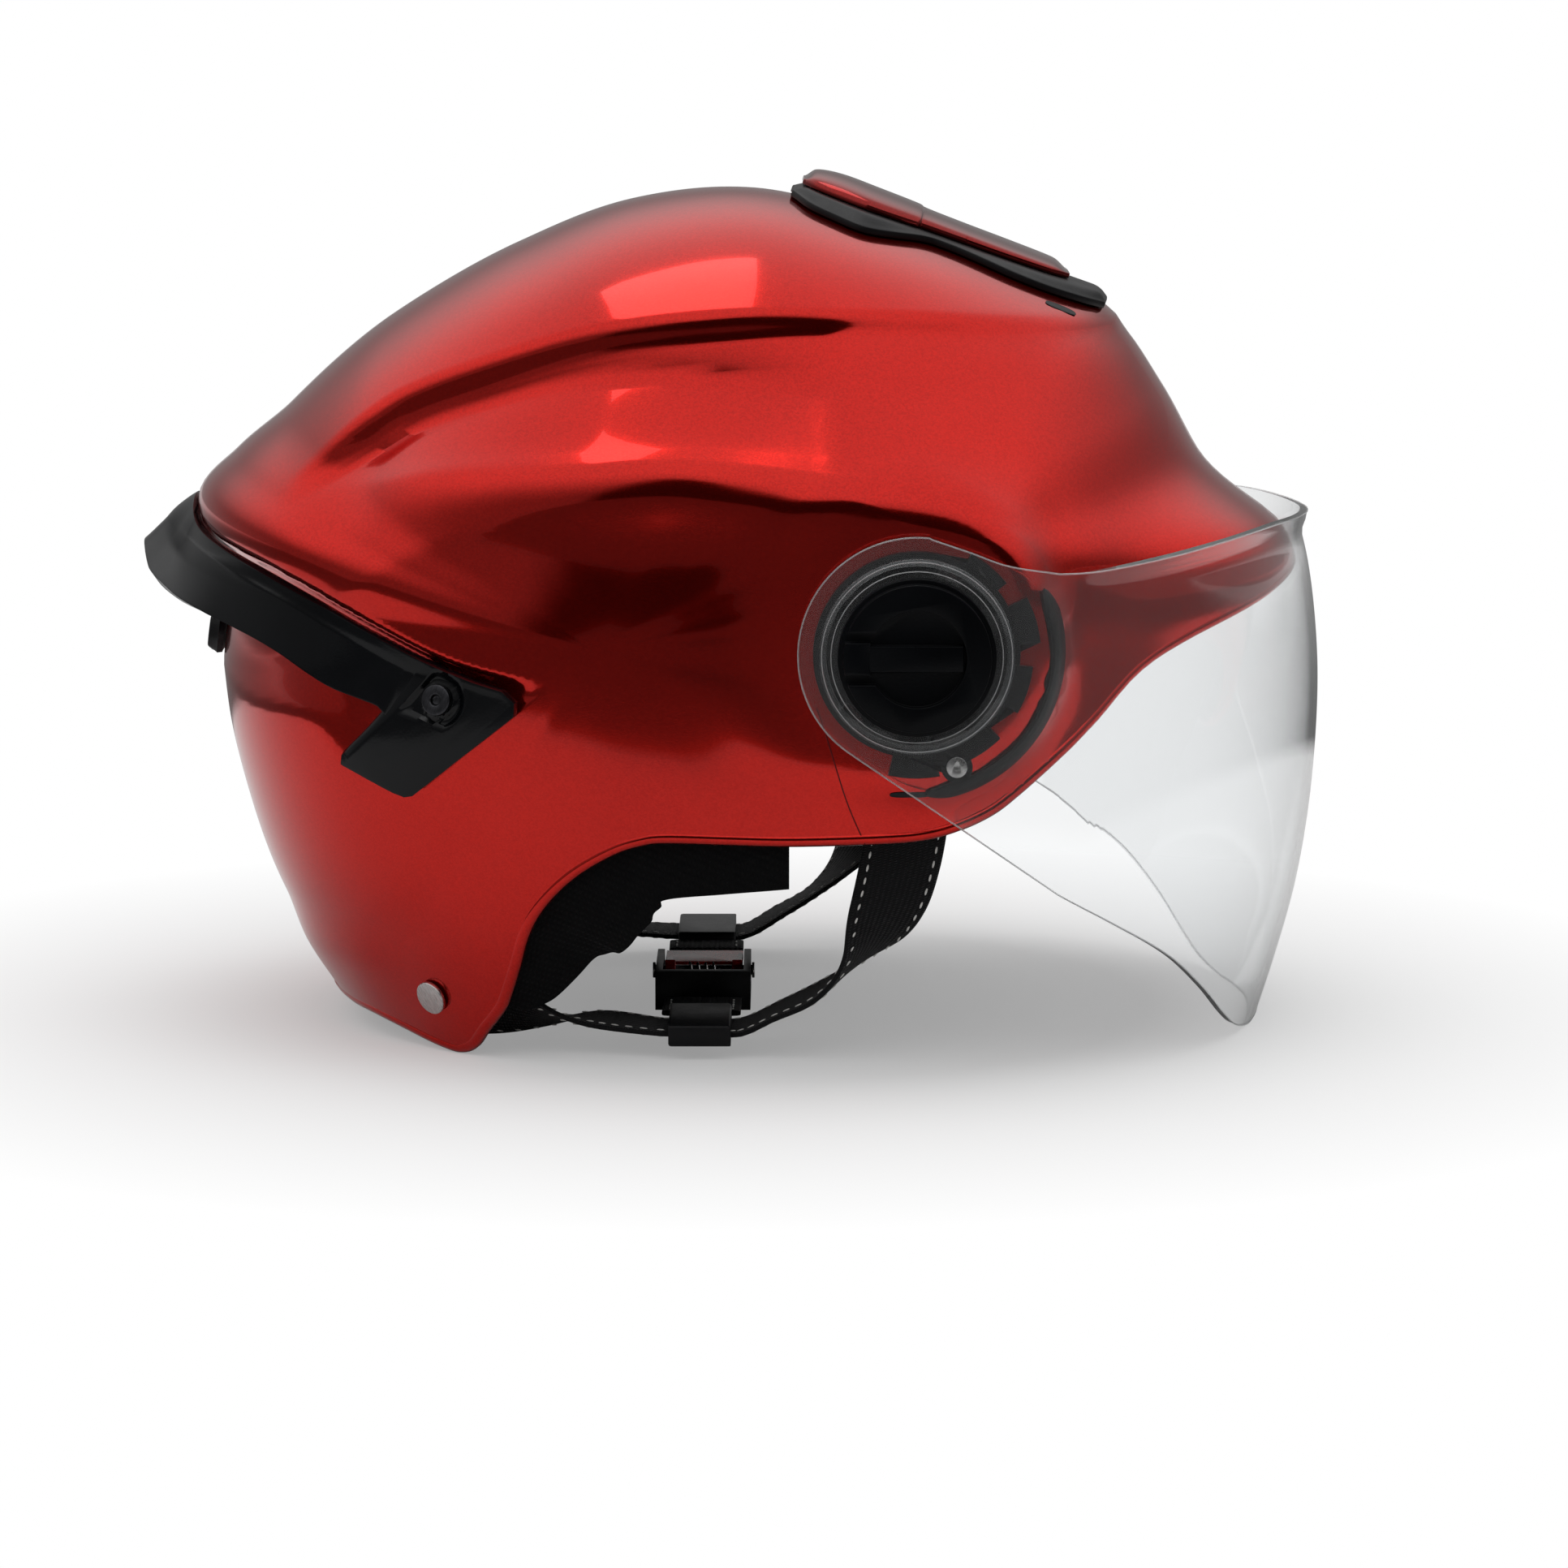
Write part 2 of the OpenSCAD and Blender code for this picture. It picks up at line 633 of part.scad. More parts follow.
// The wing's two rails from the back's middle to the tip, as places on the bare dome, and how far
// the lower rail stands off
wing_upper = [
    [-151.5, 143.5], [-149, 140.6], [-145.5, 137.8], [-134, 134], [-124.5, 130.7], [-110.5, 124.7],
    [-97, 118.2], [-90, 115], [-84.5, 112.5], [-80, 110.7], [-75, 108.7], [-66, 105.8], [-58.5, 103.8],
    [-55.2, 100.6], [-55.5, 97]
];
wing_lower = [
    [-147.3, 129.5, 21.523], [-144.5, 124, 19.8], [-141, 120.3, 15], [-135.6, 118.1, 10.5],
    [-129.9, 116, 7.5], [-119.2, 111.6, 5.1], [-105.1, 103.4, 3], [-92.7, 98.7, 1.4],
    [-90.5, 96.5, 1], [-91.2, 93.6, 0], [-102.3, 82.5, 0], [-94, 78.8, 0], [-87.3, 75.8, 0],
    [-84.6, 75.6, 0], [-83.5, 76.4, 0]
];
wing_steps = 5;
// The upper rail stands clear of the ledge's foot
wing_rail_gap = 2.5;
function wing_point(j, i, lift) =
    let (
        t = i / wing_steps,
        low = wing_lower[j],
        place = mix(wing_upper[j], [low[0], low[1]], t),
        off = lift + wing_gap + wing_rail_gap * (1 - t) + low[2] * t
    )
    j == 0 ? shell_point(side_angle(place), 90, off) : shell_at(place, off);
function wing_grid(lift) =
    let (last = len(wing_upper) - 1)
    [for (j = [-last : last]) [for (i = [0 : wing_steps])
        let (p = wing_point(abs(j), i, lift)) j < 0 ? flip(p) : p]];
module rear_wing() {
    color([0.05, 0.05, 0.06])
        difference() {
            plate_wall(wing_grid(0), wing_grid(wing_t));
            both_sides()
                aim(shell_at(wing_screw_at, 0), wing_screw_dir)
                    cylinder(r = wing_screw_r + hole_play, h = 40, center = true);
        }
}
wing_head_low = wing_gap + wing_rail_gap + wing_t;
module wing_screws() {
    color("dimgray")
        both_sides()
            aim(shell_at(wing_screw_at, 0), wing_screw_dir) {
                difference() {
                    disc(wing_head_r, wing_head_low, wing_head_low + 2.2);
                    disc(1.4, wing_head_low + 0.8, wing_head_low + 2.2 + cut);
                }
                disc(wing_screw_r, -shell_wall - wing_nut_h - 2, wing_head_low);
            }
}
module wing_nuts() {
    color("silver")
        both_sides()
            aim(shell_at(wing_screw_at, 0), wing_screw_dir)
                translate([0, 0, -shell_wall - wing_nut_h - 0.9])
                    difference() {
                        cylinder(r = 4.2, h = wing_nut_h, $fn = 6);
                        translate([0, 0, -cut])
                            cylinder(r = wing_screw_r + hole_play, h = wing_nut_h + 2 * cut);
                    }
}

// Pieces on the plane of symmetry are grids of angle and half-width
function spine_point(angle, y, lift) =
    let (p = shell_point(angle, abs(y) < 0.01 ? 90 : turn_at_y(y), lift)) y > 0 ? flip(p) : p;
module rear_exhaust() {
    plan = [[180, 12], [182, 15], [184.5, 15], [186.5, 12]];
    across = 6;
    function place(c, i, lift) = spine_point(c[0], c[1] * (2 * i / across - 1), lift);
    color([0.05, 0.05, 0.06])
        plate_wall(
            [for (c = plan) [for (i = [0 : across]) place(c, i, 0.6)]],
            [for (k = [0 : len(plan) - 1]) [for (i = [0 : across])
                place(plan[k], i, k == 0 || i == 0 || i == across ? 2.2 : 5)]]
        );
}

// The intake on the crest. Its deck is straight, so that the cover can slide on it.
intake_plan = [
    [66, 16], [63.5, 28], [59.5, 34], [56, 36.5], [52.7, 33.5], [49.4, 28.5], [46.6, 29], [42, 32],
    [37.8, 33.5], [35.2, 32.5], [33, 28], [31.5, 21]
];
intake_steps = 10;
deck_back = spine_point(64, 0, intake_h);
deck_front = spine_point(33, 0, intake_h);
deck_dir = unit(deck_front - deck_back);
deck_up = [-deck_dir[2], 0, deck_dir[0]];
// Lifts a point to a height over the deck
function over_deck(p, high) = p + deck_up * (high - (p - deck_back) * deck_up);
function intake_y(c, i) = c[1] * (2 * i / intake_steps - 1);
deck_crown = 0.8;
module intake_frame() {
    last = len(intake_plan) - 1;
    color([0.05, 0.05, 0.06])
        difference() {
            plate_wall(
                [for (k = [0 : last]) [for (i = [0 : intake_steps])
                    let (
                        c = intake_plan[k],
                        p = spine_point(c[0], intake_y(c, i), 0.6),
                        rim = k == 0 || k == last || i == 0 || i == intake_steps,
                        deck = over_deck(p, -deck_drop(intake_y(c, i)))
                    )
                    rim ? p + deck_up * min(1.8, (deck - p) * deck_up) : deck]],
                [for (c = intake_plan) [for (i = [0 : intake_steps]) spine_point(c[0], intake_y(c, i), 0.6)]]
            );
            intake_window();
        }
}
// The deck falls away to both sides as the crest does
function deck_drop(y) = deck_crown * pow(y / 36, 2) * 2;
intake_window_l = 26;
intake_window_w = 30;
module intake_window() {
    translate((deck_back + deck_front) / 2)
        rotate([0, acos(deck_up[2]), 0])
            translate([-intake_window_l / 2, -intake_window_w / 2, -60])
                cube([intake_window_l, intake_window_w, 58.5]);
}
// Half-widths and heights of the cover along the deck, from its rear end, in two levels
cover_plan = [
    [-3, 13, 0.35], [1, 19, 0.8], [8, 23, 1], [18, 25.5, 0.95], [30, 24, 0.85], [33, 22.5, 0.72],
    [45, 23, 0.62], [58, 23.5, 0.55], [70, 22, 0.45], [76, 17, 0.25]
];
module intake_cover() {
    last = len(cover_plan) - 1;
    across = 8;
    function place(c, t, high) =
        let (y = c[1] * t)
        deck_back + deck_dir * c[0] + [0, y, 0] + deck_up * (high - deck_drop(y));
    color("firebrick")
        plate_wall(
            [for (k = [0 : last]) [for (i = [0 : across])
                let (
                    t = 2 * i / across - 1,
                    rim = k == 0 || k == last || i == 0 || i == across,
                    c = cover_plan[k]
                )
                place(c, t, cover_gap + (rim ? 1.4 : 1.4 + cover_h * c[2] * sqrt(1 - t * t)))]],
            [for (c = cover_plan) [for (i = [0 : across]) place(c, 2 * i / across - 1, cover_gap)]]
        );
}

// The notched plate under the visor's ear, with its hub
plate_teeth = [[39, 62, 30.5], [6, 28, 33], [-30, -6, 31], [-76, -45, 31.5], [-103, -79, 33]];
module pivot_plate_right() {
    color([0.06, 0.06, 0.07])
        at_pivot()
            difference() {
                union() {
                    disc(27.5, plate_low, plate_top);
                    for (tooth = plate_teeth)
                        rotate([0, 0, tooth[0]])
                            translate([0, 0, plate_low])
                                rotate_extrude(angle = tooth[1] - tooth[0])
                                    translate([20, 0])
                                        square([tooth[2] - 20, plate_t]);
                    translate([plate_screw_at[0], plate_screw_at[1], 0])
                        disc(4.2, plate_low, plate_top);
                    disc(hub_r, plate_low, hub_top);
                }
                disc(spigot_r + hub_play, plate_top + 1.2, hub_top + cut);
                disc(pivot_screw_r + hole_play, plate_low - cut, hub_top);
                translate([plate_screw_at[0], plate_screw_at[1], 0])
                    disc(plate_screw_r + hole_play, plate_low - cut, plate_top + cut);
            }
}
module pivot_plate_left() {
    to_left()
        pivot_plate_right();
}
module pivot_screws() {
    seat = plate_top + 1.2;
    color("silver")
        both_sides()
            at_pivot()
                difference() {
                    union() {
                        disc(pivot_screw_r * 1.8, seat, seat + 2.2);
                        disc(pivot_screw_r, anchor_in - nut_h - 1, seat);
                    }
                    translate([0, 0, seat + 1])
                        cylinder(r = pivot_screw_r * 0.7, h = 4, $fn = 6);
                }
}
module pivot_nuts() {
    color("silver")
        both_sides()
            at_pivot()
                translate([0, 0, anchor_in - nut_h])
                    difference() {
                        cylinder(r = pivot_screw_r * 1.9, h = nut_h, $fn = 6);
                        translate([0, 0, -cut])
                            cylinder(r = pivot_screw_r + hole_play, h = nut_h + 2 * cut);
                    }
}
module plate_screws() {
    color("silver")
        both_sides()
            translate([plate_screw_at[0], 0, plate_screw_at[1]])
                at_pivot()
                    difference() {
                        union() {
                            disc(plate_screw_r * 2, plate_top, plate_top + 0.3);
                            disc(plate_screw_r, platform_in + 0.2, plate_top);
                        }
                        disc(0.8, plate_top - 1, plate_top + cut);
                    }
}

// The visor: flat round ears that bend into a pointed wrap. Its front seen from the side:
visor_profile = [
    [-5, -18], [15, -11.5], [35, -6], [55, -2.5], [75, -0.6], [95, 0], [112, -1], [128, -3.2], [142, -6.6]
];
visor_bend_x = 88;
visor_power = 1.75;
// The upright bend line between each ear and the wrap
visor_kink = 3;
kink_x = 95.7;
kink_length = 12;
// Its lower edge and its upper edge forward of the ears, seen from the side
edge_fall = 0.684;
visor_low_edge = [
    [0, 0], [12, -8.2], [27, -19.5], [38, -31], [46, -40.5], [52, -46.4], [58, -49.6], [66, -50.8]
];
visor_top_edge = [[0, 0], [8.5, 0.4], [22, 2.6], [40, 5.8], [52, 7.4], [60, 7.2], [66, 6.6]];
function ear_low(x) =
    let (
        tangent = pivot_x - ear_r * sin(atan(edge_fall)),
        tangent_z = pivot_z - ear_r * cos(atan(edge_fall))
    )
    x < tangent ?
        pivot_z - sqrt(max(0, ear_r * ear_r - pow(x - pivot_x, 2))) :
        tangent_z - edge_fall * (x - tangent);
ear_shoulder_z = 135.8;
ear_top_line = [
    [pivot_x + 4, pivot_z + ear_r - 0.6], [pivot_x + 14, pivot_z + ear_r - 4], [74, 138],
    [visor_bend_x, ear_shoulder_z]
];
function ear_top(x) =
    x < pivot_x + 4 ?
        pivot_z + sqrt(max(0, ear_r * ear_r - pow(x - pivot_x, 2))) :
        height_on(ear_top_line, x);
// A column is [forward place, share of the wrap]; the ears have no wrap
visor_ear_places = [0.99, 0.93, 0.8, 0.62, 0.4, 0.15, -0.12, -0.4, -0.75, -1.05];
visor_turns = 12;
visor_columns = concat(
    [for (f = visor_ear_places) [pivot_x - f * ear_r, 0]],
    [for (k = [0 : visor_turns]) [visor_bend_x, 90 * k / visor_turns]]
);
visor_rows = [0, 0.12, 0.26, 0.4, 0.54, 0.68, 0.81, 0.94, 1];
function visor_reach(z) = visor_front + height_on(visor_profile, z) - visor_bend_x;
function wrap(turn) = turn >= 90 ? 1 : pow(sin(turn), 2 / visor_power);
function visor_point(column, v, inset) =
    let (
        turn = column[1],
        across = turn >= 90 ? 0 : pow(cos(turn), 2 / visor_power),
        forward = wrap(turn) * (visor_front - 16 - visor_bend_x),
        low = turn == 0 ? ear_low(column[0]) : ear_low(visor_bend_x) + height_on(visor_low_edge, forward),
        top = turn == 0 ? ear_top(column[0]) : ear_shoulder_z + height_on(visor_top_edge, forward),
        z = mix(low, top, v),
        lip = v == 1 ? lip_out * ease(0, 30, turn) : 0,
        x = column[0] + wrap(turn) * (visor_reach(z) - inset + lip),
        y = (visor_top - inset + lip - visor_kink * (1 - exp(-max(0, x - kink_x) / kink_length))) * across
    )
    [x, -y, z];
function visor_grid(inset) =
    let (last = len(visor_columns) - 1)
    [for (j = [-last : last]) [for (v = visor_rows)
        let (p = visor_point(visor_columns[last - abs(j)], v, inset)) j > 0 ? flip(p) : p]];
collar_neck_r = hub_r + hub_play + 4.4;
module visor() {
    color([0.85, 0.9, 0.92, 0.35])
        difference() {
            plate_wall(visor_grid(0), visor_grid(visor_wall));
            at_pivot()
                cylinder(r = collar_neck_r, h = 2 * dome_half_w + 40, center = true);
            below_floor();
        }
}
// The clear collar has two lugs on its flange
lug_angles = [68, 221];
module visor_collar_right() {
    color([0.85, 0.9, 0.92, 0.5])
        at_pivot()
            difference() {
                union() {
                    disc(collar_neck_r, visor_low, collar_top);
                    disc(collar_r, visor_top, collar_top);
                    for (a = lug_angles)
                        rotate([0, 0, a])
                            translate([cap_r + 0.8, -3, visor_top])
                                cube([collar_r - cap_r - 1.4, 6, collar_top - visor_top + 0.9]);
                }
                disc(hub_r + hub_play, visor_low - cut, collar_top + cut);
            }
}
module visor_collar_left() {
    to_left()
        visor_collar_right();
}
// The cap has a raised ring that is open at the back, a recess and a straight grip across it
module pivot_cap_right() {
    color([0.05, 0.05, 0.06])
        at_pivot()
            difference() {
                union() {
                    ring(spigot_r, 7.6, plate_top + 2, cap_low);
                    disc(cap_r, cap_low, cap_top - 1);
                    ring(cap_r - 1.4, 13, cap_top - 1, grip_top);
                    translate([-cap_r + 2.2, -3.4, cap_top - 1])
                        cube([cap_r + 10, 6.8, grip_top - cap_top + 0.6]);
                }
                for (way = [1, -1])
                    translate([-cap_r, way * 5.6 - 1.3, cap_top - 1])
                        cube([10, 2.6, 4]);
                disc(5.6, plate_top, cap_low + 0.6);
            }
}
module pivot_cap_left() {
    to_left()
        pivot_cap_right();
}

// Straps. The front leg hangs from the pivot screw's anchor plate, and the loop ends at the rear rivet.
anchor_w = 24;
anchor_h = 32;
module anchor_plates() {
    color("silver")
        both_sides()
            at_pivot()
                difference() {
                    translate([-anchor_w / 2, -22, anchor_in])
                        cube([anchor_w, anchor_h, anchor_t]);
                    disc(pivot_screw_r + hole_play, anchor_in - cut, anchor_out + cut);
                }
}
// The webbing's flat end clears the hollow of the shell
strap_seat = 1.9;
rivet_in = shell_at(rivet_at, 0) - rivet_dir * (shell_wall + strap_seat + strap_t / 2);
strap_end_dir = unit([1, 0.1, -0.16] - rivet_dir * ([1, 0.1, -0.16] * rivet_dir));
strap_end_across = unit(cross(strap_end_dir, rivet_dir));
slider_at = [-8, -78, 7];
strap_route = [
    [pivot_x, -strap_front_y, pivot_z - 11],
    [pivot_x, -strap_front_y, pivot_z - 22],
    [pivot_x - 0.4, -strap_front_y + 1.8, pivot_z - 32],
    [48.6, -99.6, 70],
    [46.5, -97, 56],
    [43, -94.5, 43],
    [37, -91, 30.5],
    [27, -86.5, 20],
    [14, -81.5, 12.5],
    slider_at + [11, 0, 0],
    slider_at,
    slider_at + [-11, 0, 0],
    [-36, -74.5, 8.5],
    [-50, -73.5, 9],
    [-61, -75.5, 11],
    rivet_in + strap_end_dir * 8,
    rivet_in,
    rivet_in - strap_end_dir * 8
];
strap_across = [
    [1, 0, 0], [1, 0, 0], [1, 0, 0], [1, 0, 0.05], [1, 0.1, 0.1], [1, 0.25, 0.3], [0.8, 0.5, 0.5],
    [0.45, 0.8, 0.3], [0.1, 1, 0.05], [0, 1, 0], [0, 1, 0], [0, 1, 0], [0, 1, 0],
    mix([0, 1, 0], strap_end_across, 0.4), mix([0, 1, 0], strap_end_across, 0.8), strap_end_across,
    strap_end_across, strap_end_across
];
strap_steps = 3;
module strap_right() {
    color([0.07, 0.07, 0.07])
        difference() {
            band(
                smooth_route(strap_route, strap_steps),
                smooth_route(strap_across, strap_steps),
                strap_w,
                strap_t
            );
            aim(rivet_in, rivet_dir)
                cylinder(r = rivet_r + hole_play, h = 20, center = true);
        }
}
module strap_left() {
    to_left()
        strap_right();
}
washer_t = 1;
rivet_deep = shell_wall + strap_seat + strap_t + 0.2 + washer_t;
module rear_rivets() {
    color("silver")
        both_sides()
            aim(shell_at(rivet_at, 0), rivet_dir) {
                disc(rivet_head_r, 0.5, 2);
                disc(rivet_r, -rivet_deep, 0.5);
                disc(rivet_r + 1, -rivet_deep - 1, -rivet_deep);
            }
}
module rear_washers() {
    color("silver")
        both_sides()
            aim(shell_at(rivet_at, 0), rivet_dir)
                ring(rivet_r + 3, rivet_r + hole_play, -rivet_deep, -rivet_deep + washer_t);
}

// The slider that joins the loop to the chin strap: a frame with two slots
slider_h = strap_t + 4.4;
slider_l = 17;
slot_play = 0.6;
module strap_slider_right() {
    color([0.06, 0.06, 0.07])
        translate(slider_at)
            difference() {
                translate([-slider_l / 2, -strap_w / 2 - 3, -slider_h / 2])
                    cube([slider_l, strap_w + 12, slider_h]);
                translate([-slider_l, -strap_w / 2 - slot_play, -strap_t / 2 - slot_play])
                    cube([2 * slider_l, strap_w + 2 * slot_play, strap_t + 2 * slot_play]);
            }
}
module strap_slider_left() {
    to_left()
        strap_slider_right();
}

// Chin strap and buckle. The strap lies across, with its width along X.
chin_x = slider_at[0];
chin_start = slider_at[1] + strap_w / 2 + 9 + 0.2;
chin_z = slider_at[2];
buckle_z = 5;
buckle_from = -26;
buckle_to = 12;
tongue_to = 40;
chin_across = [for (k = [0 : 4]) [1, 0, 0]];
module chin_strap_right() {
    route = [
        [chin_x, chin_start, chin_z],
        [chin_x, chin_start + 10, chin_z - 0.4],
        [chin_x, (chin_start + buckle_from) / 2, chin_z - 1.6],
        [chin_x, buckle_from - 12, buckle_z + 0.2],
        [chin_x, buckle_from - 0.3, buckle_z]
    ];
    color([0.07, 0.07, 0.07])
        band(smooth_route(route, 3), smooth_route(chin_across, 3), strap_w, strap_t);
}
module chin_strap_left() {
    route = [
        [chin_x, -chin_start, chin_z],
        [chin_x, -chin_start - 6, chin_z - 0.3],
        [chin_x, (tongue_to - chin_start) / 2, chin_z - 0.9],
        [chin_x, tongue_to + 8, buckle_z + 0.2],
        [chin_x, tongue_to + 0.3, buckle_z]
    ];
    color([0.07, 0.07, 0.07])
        band(smooth_route(route, 3), smooth_route(chin_across, 3), strap_w, strap_t);
}
buckle_floor_t = 1.4;
buckle_cheek_t = 2;
buckle_floor = buckle_z - 3;
tongue_t = 2;
tongue_low = buckle_floor + buckle_floor_t + seat_gap;
tooth_h = 1.2;
buckle_pin_at = [-6, buckle_floor + 8];
buckle_cheek_h = 11;
module along_x(p) {
    translate([chin_x, p[0], p[1]])
        rotate([0, 90, 0])
            children();
}
module buckle_body() {
    wide = buckle_w + 2 * buckle_cheek_t;
    color([0.06, 0.06, 0.07])
        difference() {
            translate([chin_x - wide / 2, buckle_from, buckle_floor])
                cube([wide, buckle_to - buckle_from, buckle_cheek_h]);
            translate([chin_x - buckle_w / 2, buckle_from + 4, buckle_floor + buckle_floor_t])
                cube([buckle_w, buckle_to - buckle_from, buckle_cheek_h]);
            along_x(buckle_pin_at)
                cylinder(r = buckle_pin_r + hole_play, h = wide + 2 * cut, center = true);
        }
}
module buckle_tongue() {
    from = buckle_from + 6;
    teeth = 7;
    pitch = 3;
    color("silver")
        translate([chin_x, 0, tongue_low]) {
            translate([-strap_w / 2 + 1, from, 0])
                cube([strap_w - 2, tongue_to - from, tongue_t]);
            for (k = [0 : teeth - 1])
                translate([-strap_w / 2 + 3, from + 2 + k * pitch, tongue_t])
                    rotate([90, 0, 90])
                        linear_extrude(strap_w - 6)
                            polygon([[0, 0], [pitch - 0.4, 0], [0, tooth_h]]);
        }
}
lever_play = 0.4;
lever_t = 2.4;
lever_low = tongue_low + tongue_t + tooth_h + 0.5;
module buckle_lever() {
    wide = buckle_w - 2 * lever_play;
    ear_w = 3;
    color("firebrick")
        difference() {
            union() {
                translate([chin_x - wide / 2, buckle_pin_at[0] + 3.4, buckle_pin_at[1] - 0.6])
                    cube([wide, buckle_to - buckle_pin_at[0] + 1, lever_t]);
                for (way = [-1, 1])
                    translate([way * (wide - ear_w) / 2, 0, 0]) {
                        along_x(buckle_pin_at)
                            cylinder(r = 3, h = ear_w, center = true);
                        translate([chin_x - ear_w / 2, buckle_pin_at[0], buckle_pin_at[1] - 0.6])
                            cube([ear_w, 6, lever_t]);
                    }
                // The pawl that drops between the tongue's teeth
                translate([chin_x - wide / 2 + 4, buckle_pin_at[0] + 3.4, lever_low])
                    cube([wide - 8, 2.4, buckle_pin_at[1] - lever_low]);
            }
            along_x(buckle_pin_at)
                cylinder(r = buckle_pin_r + hole_play, h = 2 * buckle_w, center = true);
        }
}
module buckle_pin() {
    wide = buckle_w + 2 * buckle_cheek_t;
    color("silver")
        along_x(buckle_pin_at) {
            cylinder(r = buckle_pin_r, h = wide + 0.6, center = true);
            for (way = [-1, 1])
                translate([0, 0, way * (wide / 2 + 0.7)])
                    cylinder(r = buckle_pin_r + 0.8, h = 0.8, center = true);
        }
}
// A coil round the pin between the lever's ears
spring_turns = 4;
spring_rings = 8;
spring_sides = 6;
spring_r = buckle_pin_r + 0.45 + spring_wire / 2;
spring_pitch = 2.2;
module buckle_spring() {
    last = spring_turns * spring_rings;
    function centre(k) =
        let (a = 360 * k / spring_rings)
        [spring_pitch * (k / spring_rings - spring_turns / 2), spring_r * cos(a), spring_r * sin(a)];
    points = [for (k = [0 : last], i = [0 : spring_sides - 1])
        let (
            a = 360 * k / spring_rings,
            b = 360 * i / spring_sides,
            out = [0, cos(a), sin(a)]
        )
        centre(k) + (out * cos(b) + [1, 0, 0] * sin(b)) * spring_wire / 2];
    echo(spring_gap = min([for (k = [0 : last - spring_rings])
        norm(centre(k + spring_rings) - centre(k))]) - spring_wire);
    color("silver")
        translate([chin_x, buckle_pin_at[0], buckle_pin_at[1]])
            polyhedron(
                points,
                concat(
                    [for (i = [1 : spring_sides - 2]) [0, i + 1, i]],
                    [for (k = [0 : last - 1], i = [0 : spring_sides - 1])
                        let (
                            a = k * spring_sides + i,
                            b = k * spring_sides + (i + 1) % spring_sides
                        )
                        each [[a, b + spring_sides, a + spring_sides], [a, b, b + spring_sides]]],
                    [for (i = [1 : spring_sides - 2])
                        let (e = last * spring_sides) [e, e + i, e + i + 1]]
                )
            );
}

outer_shell();
foam_liner();
crown_pad();
brow_pad();
ear_pad_right();
ear_pad_left();
neck_pad();
rear_wing();
wing_screws();
wing_nuts();
rear_exhaust();
intake_frame();
intake_cover();
pivot_plate_right();
pivot_plate_left();
pivot_screws();
pivot_nuts();
plate_screws();
visor();
visor_collar_right();
visor_collar_left();
pivot_cap_right();
pivot_cap_left();
anchor_plates();
strap_right();
strap_left();
rear_rivets();
rear_washers();
strap_slider_right();
strap_slider_left();
chin_strap_right();
chin_strap_left();
buckle_body();
buckle_tongue();
buckle_lever();
buckle_pin();
buckle_spring();
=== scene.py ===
import math

import bpy
import numpy as np
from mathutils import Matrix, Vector


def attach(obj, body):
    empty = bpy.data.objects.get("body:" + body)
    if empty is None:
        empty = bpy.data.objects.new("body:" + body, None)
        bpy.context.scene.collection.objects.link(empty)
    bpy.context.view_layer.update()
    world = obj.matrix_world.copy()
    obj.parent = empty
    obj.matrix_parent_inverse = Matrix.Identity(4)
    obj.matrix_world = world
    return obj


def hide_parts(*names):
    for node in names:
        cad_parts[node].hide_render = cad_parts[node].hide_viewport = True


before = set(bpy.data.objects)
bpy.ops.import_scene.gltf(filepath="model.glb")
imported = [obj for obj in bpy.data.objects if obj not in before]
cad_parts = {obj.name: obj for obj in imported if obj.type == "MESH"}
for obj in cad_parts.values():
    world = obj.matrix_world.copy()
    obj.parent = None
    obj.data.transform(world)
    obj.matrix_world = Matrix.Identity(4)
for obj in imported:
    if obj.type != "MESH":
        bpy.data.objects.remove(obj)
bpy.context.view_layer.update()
mm = 0.001
weldGap = 0.01 * mm    # points closer than this are merged
print("frame loaded:", len(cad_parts), "solids")


# everyday steps

def clearSelection():
    if bpy.context.object and bpy.context.object.mode != "OBJECT":
        bpy.ops.object.mode_set(mode="OBJECT")
    bpy.ops.object.select_all(action="DESELECT")


def pick(piece):
    clearSelection()
    piece.select_set(True)
    bpy.context.view_layer.objects.active = piece


def applyModifier(piece, kind, **settings):
    pick(piece)
    modifier = piece.modifiers.new(kind.title(), kind)
    for key, value in settings.items():
        setattr(modifier, key, value)
    bpy.ops.object.modifier_apply(modifier=modifier.name)


def closeUp(piece, gap=weldGap):
    pick(piece)
    bpy.ops.object.mode_set(mode="EDIT")
    bpy.ops.mesh.select_all(action="SELECT")
    bpy.ops.mesh.remove_doubles(threshold=gap)
    bpy.ops.mesh.normals_make_consistent(inside=False)
    bpy.ops.object.mode_set(mode="OBJECT")


def smooth(piece, angle=35):
    pick(piece)
    bpy.ops.object.shade_smooth_by_angle(angle=math.radians(angle))


def addObject(name, data):
    data.name = name
    piece = bpy.data.objects.new(name, data)
    bpy.context.collection.objects.link(piece)
    return piece


def joinAll(pieces, name):
    clearSelection()
    for piece in pieces:
        piece.select_set(True)
    bpy.context.view_layer.objects.active = pieces[0]
    if len(pieces) > 1:
        bpy.ops.object.join()
    piece = bpy.context.object
    piece.name = piece.data.name = name
    return piece


def coords(piece):
    flat = np.empty(len(piece.data.vertices) * 3)
    piece.data.vertices.foreach_get("co", flat)
    return flat.reshape(-1, 3)


def setCoords(piece, places):
    piece.data.vertices.foreach_set("co", np.asarray(places, float).ravel())
    piece.data.update()


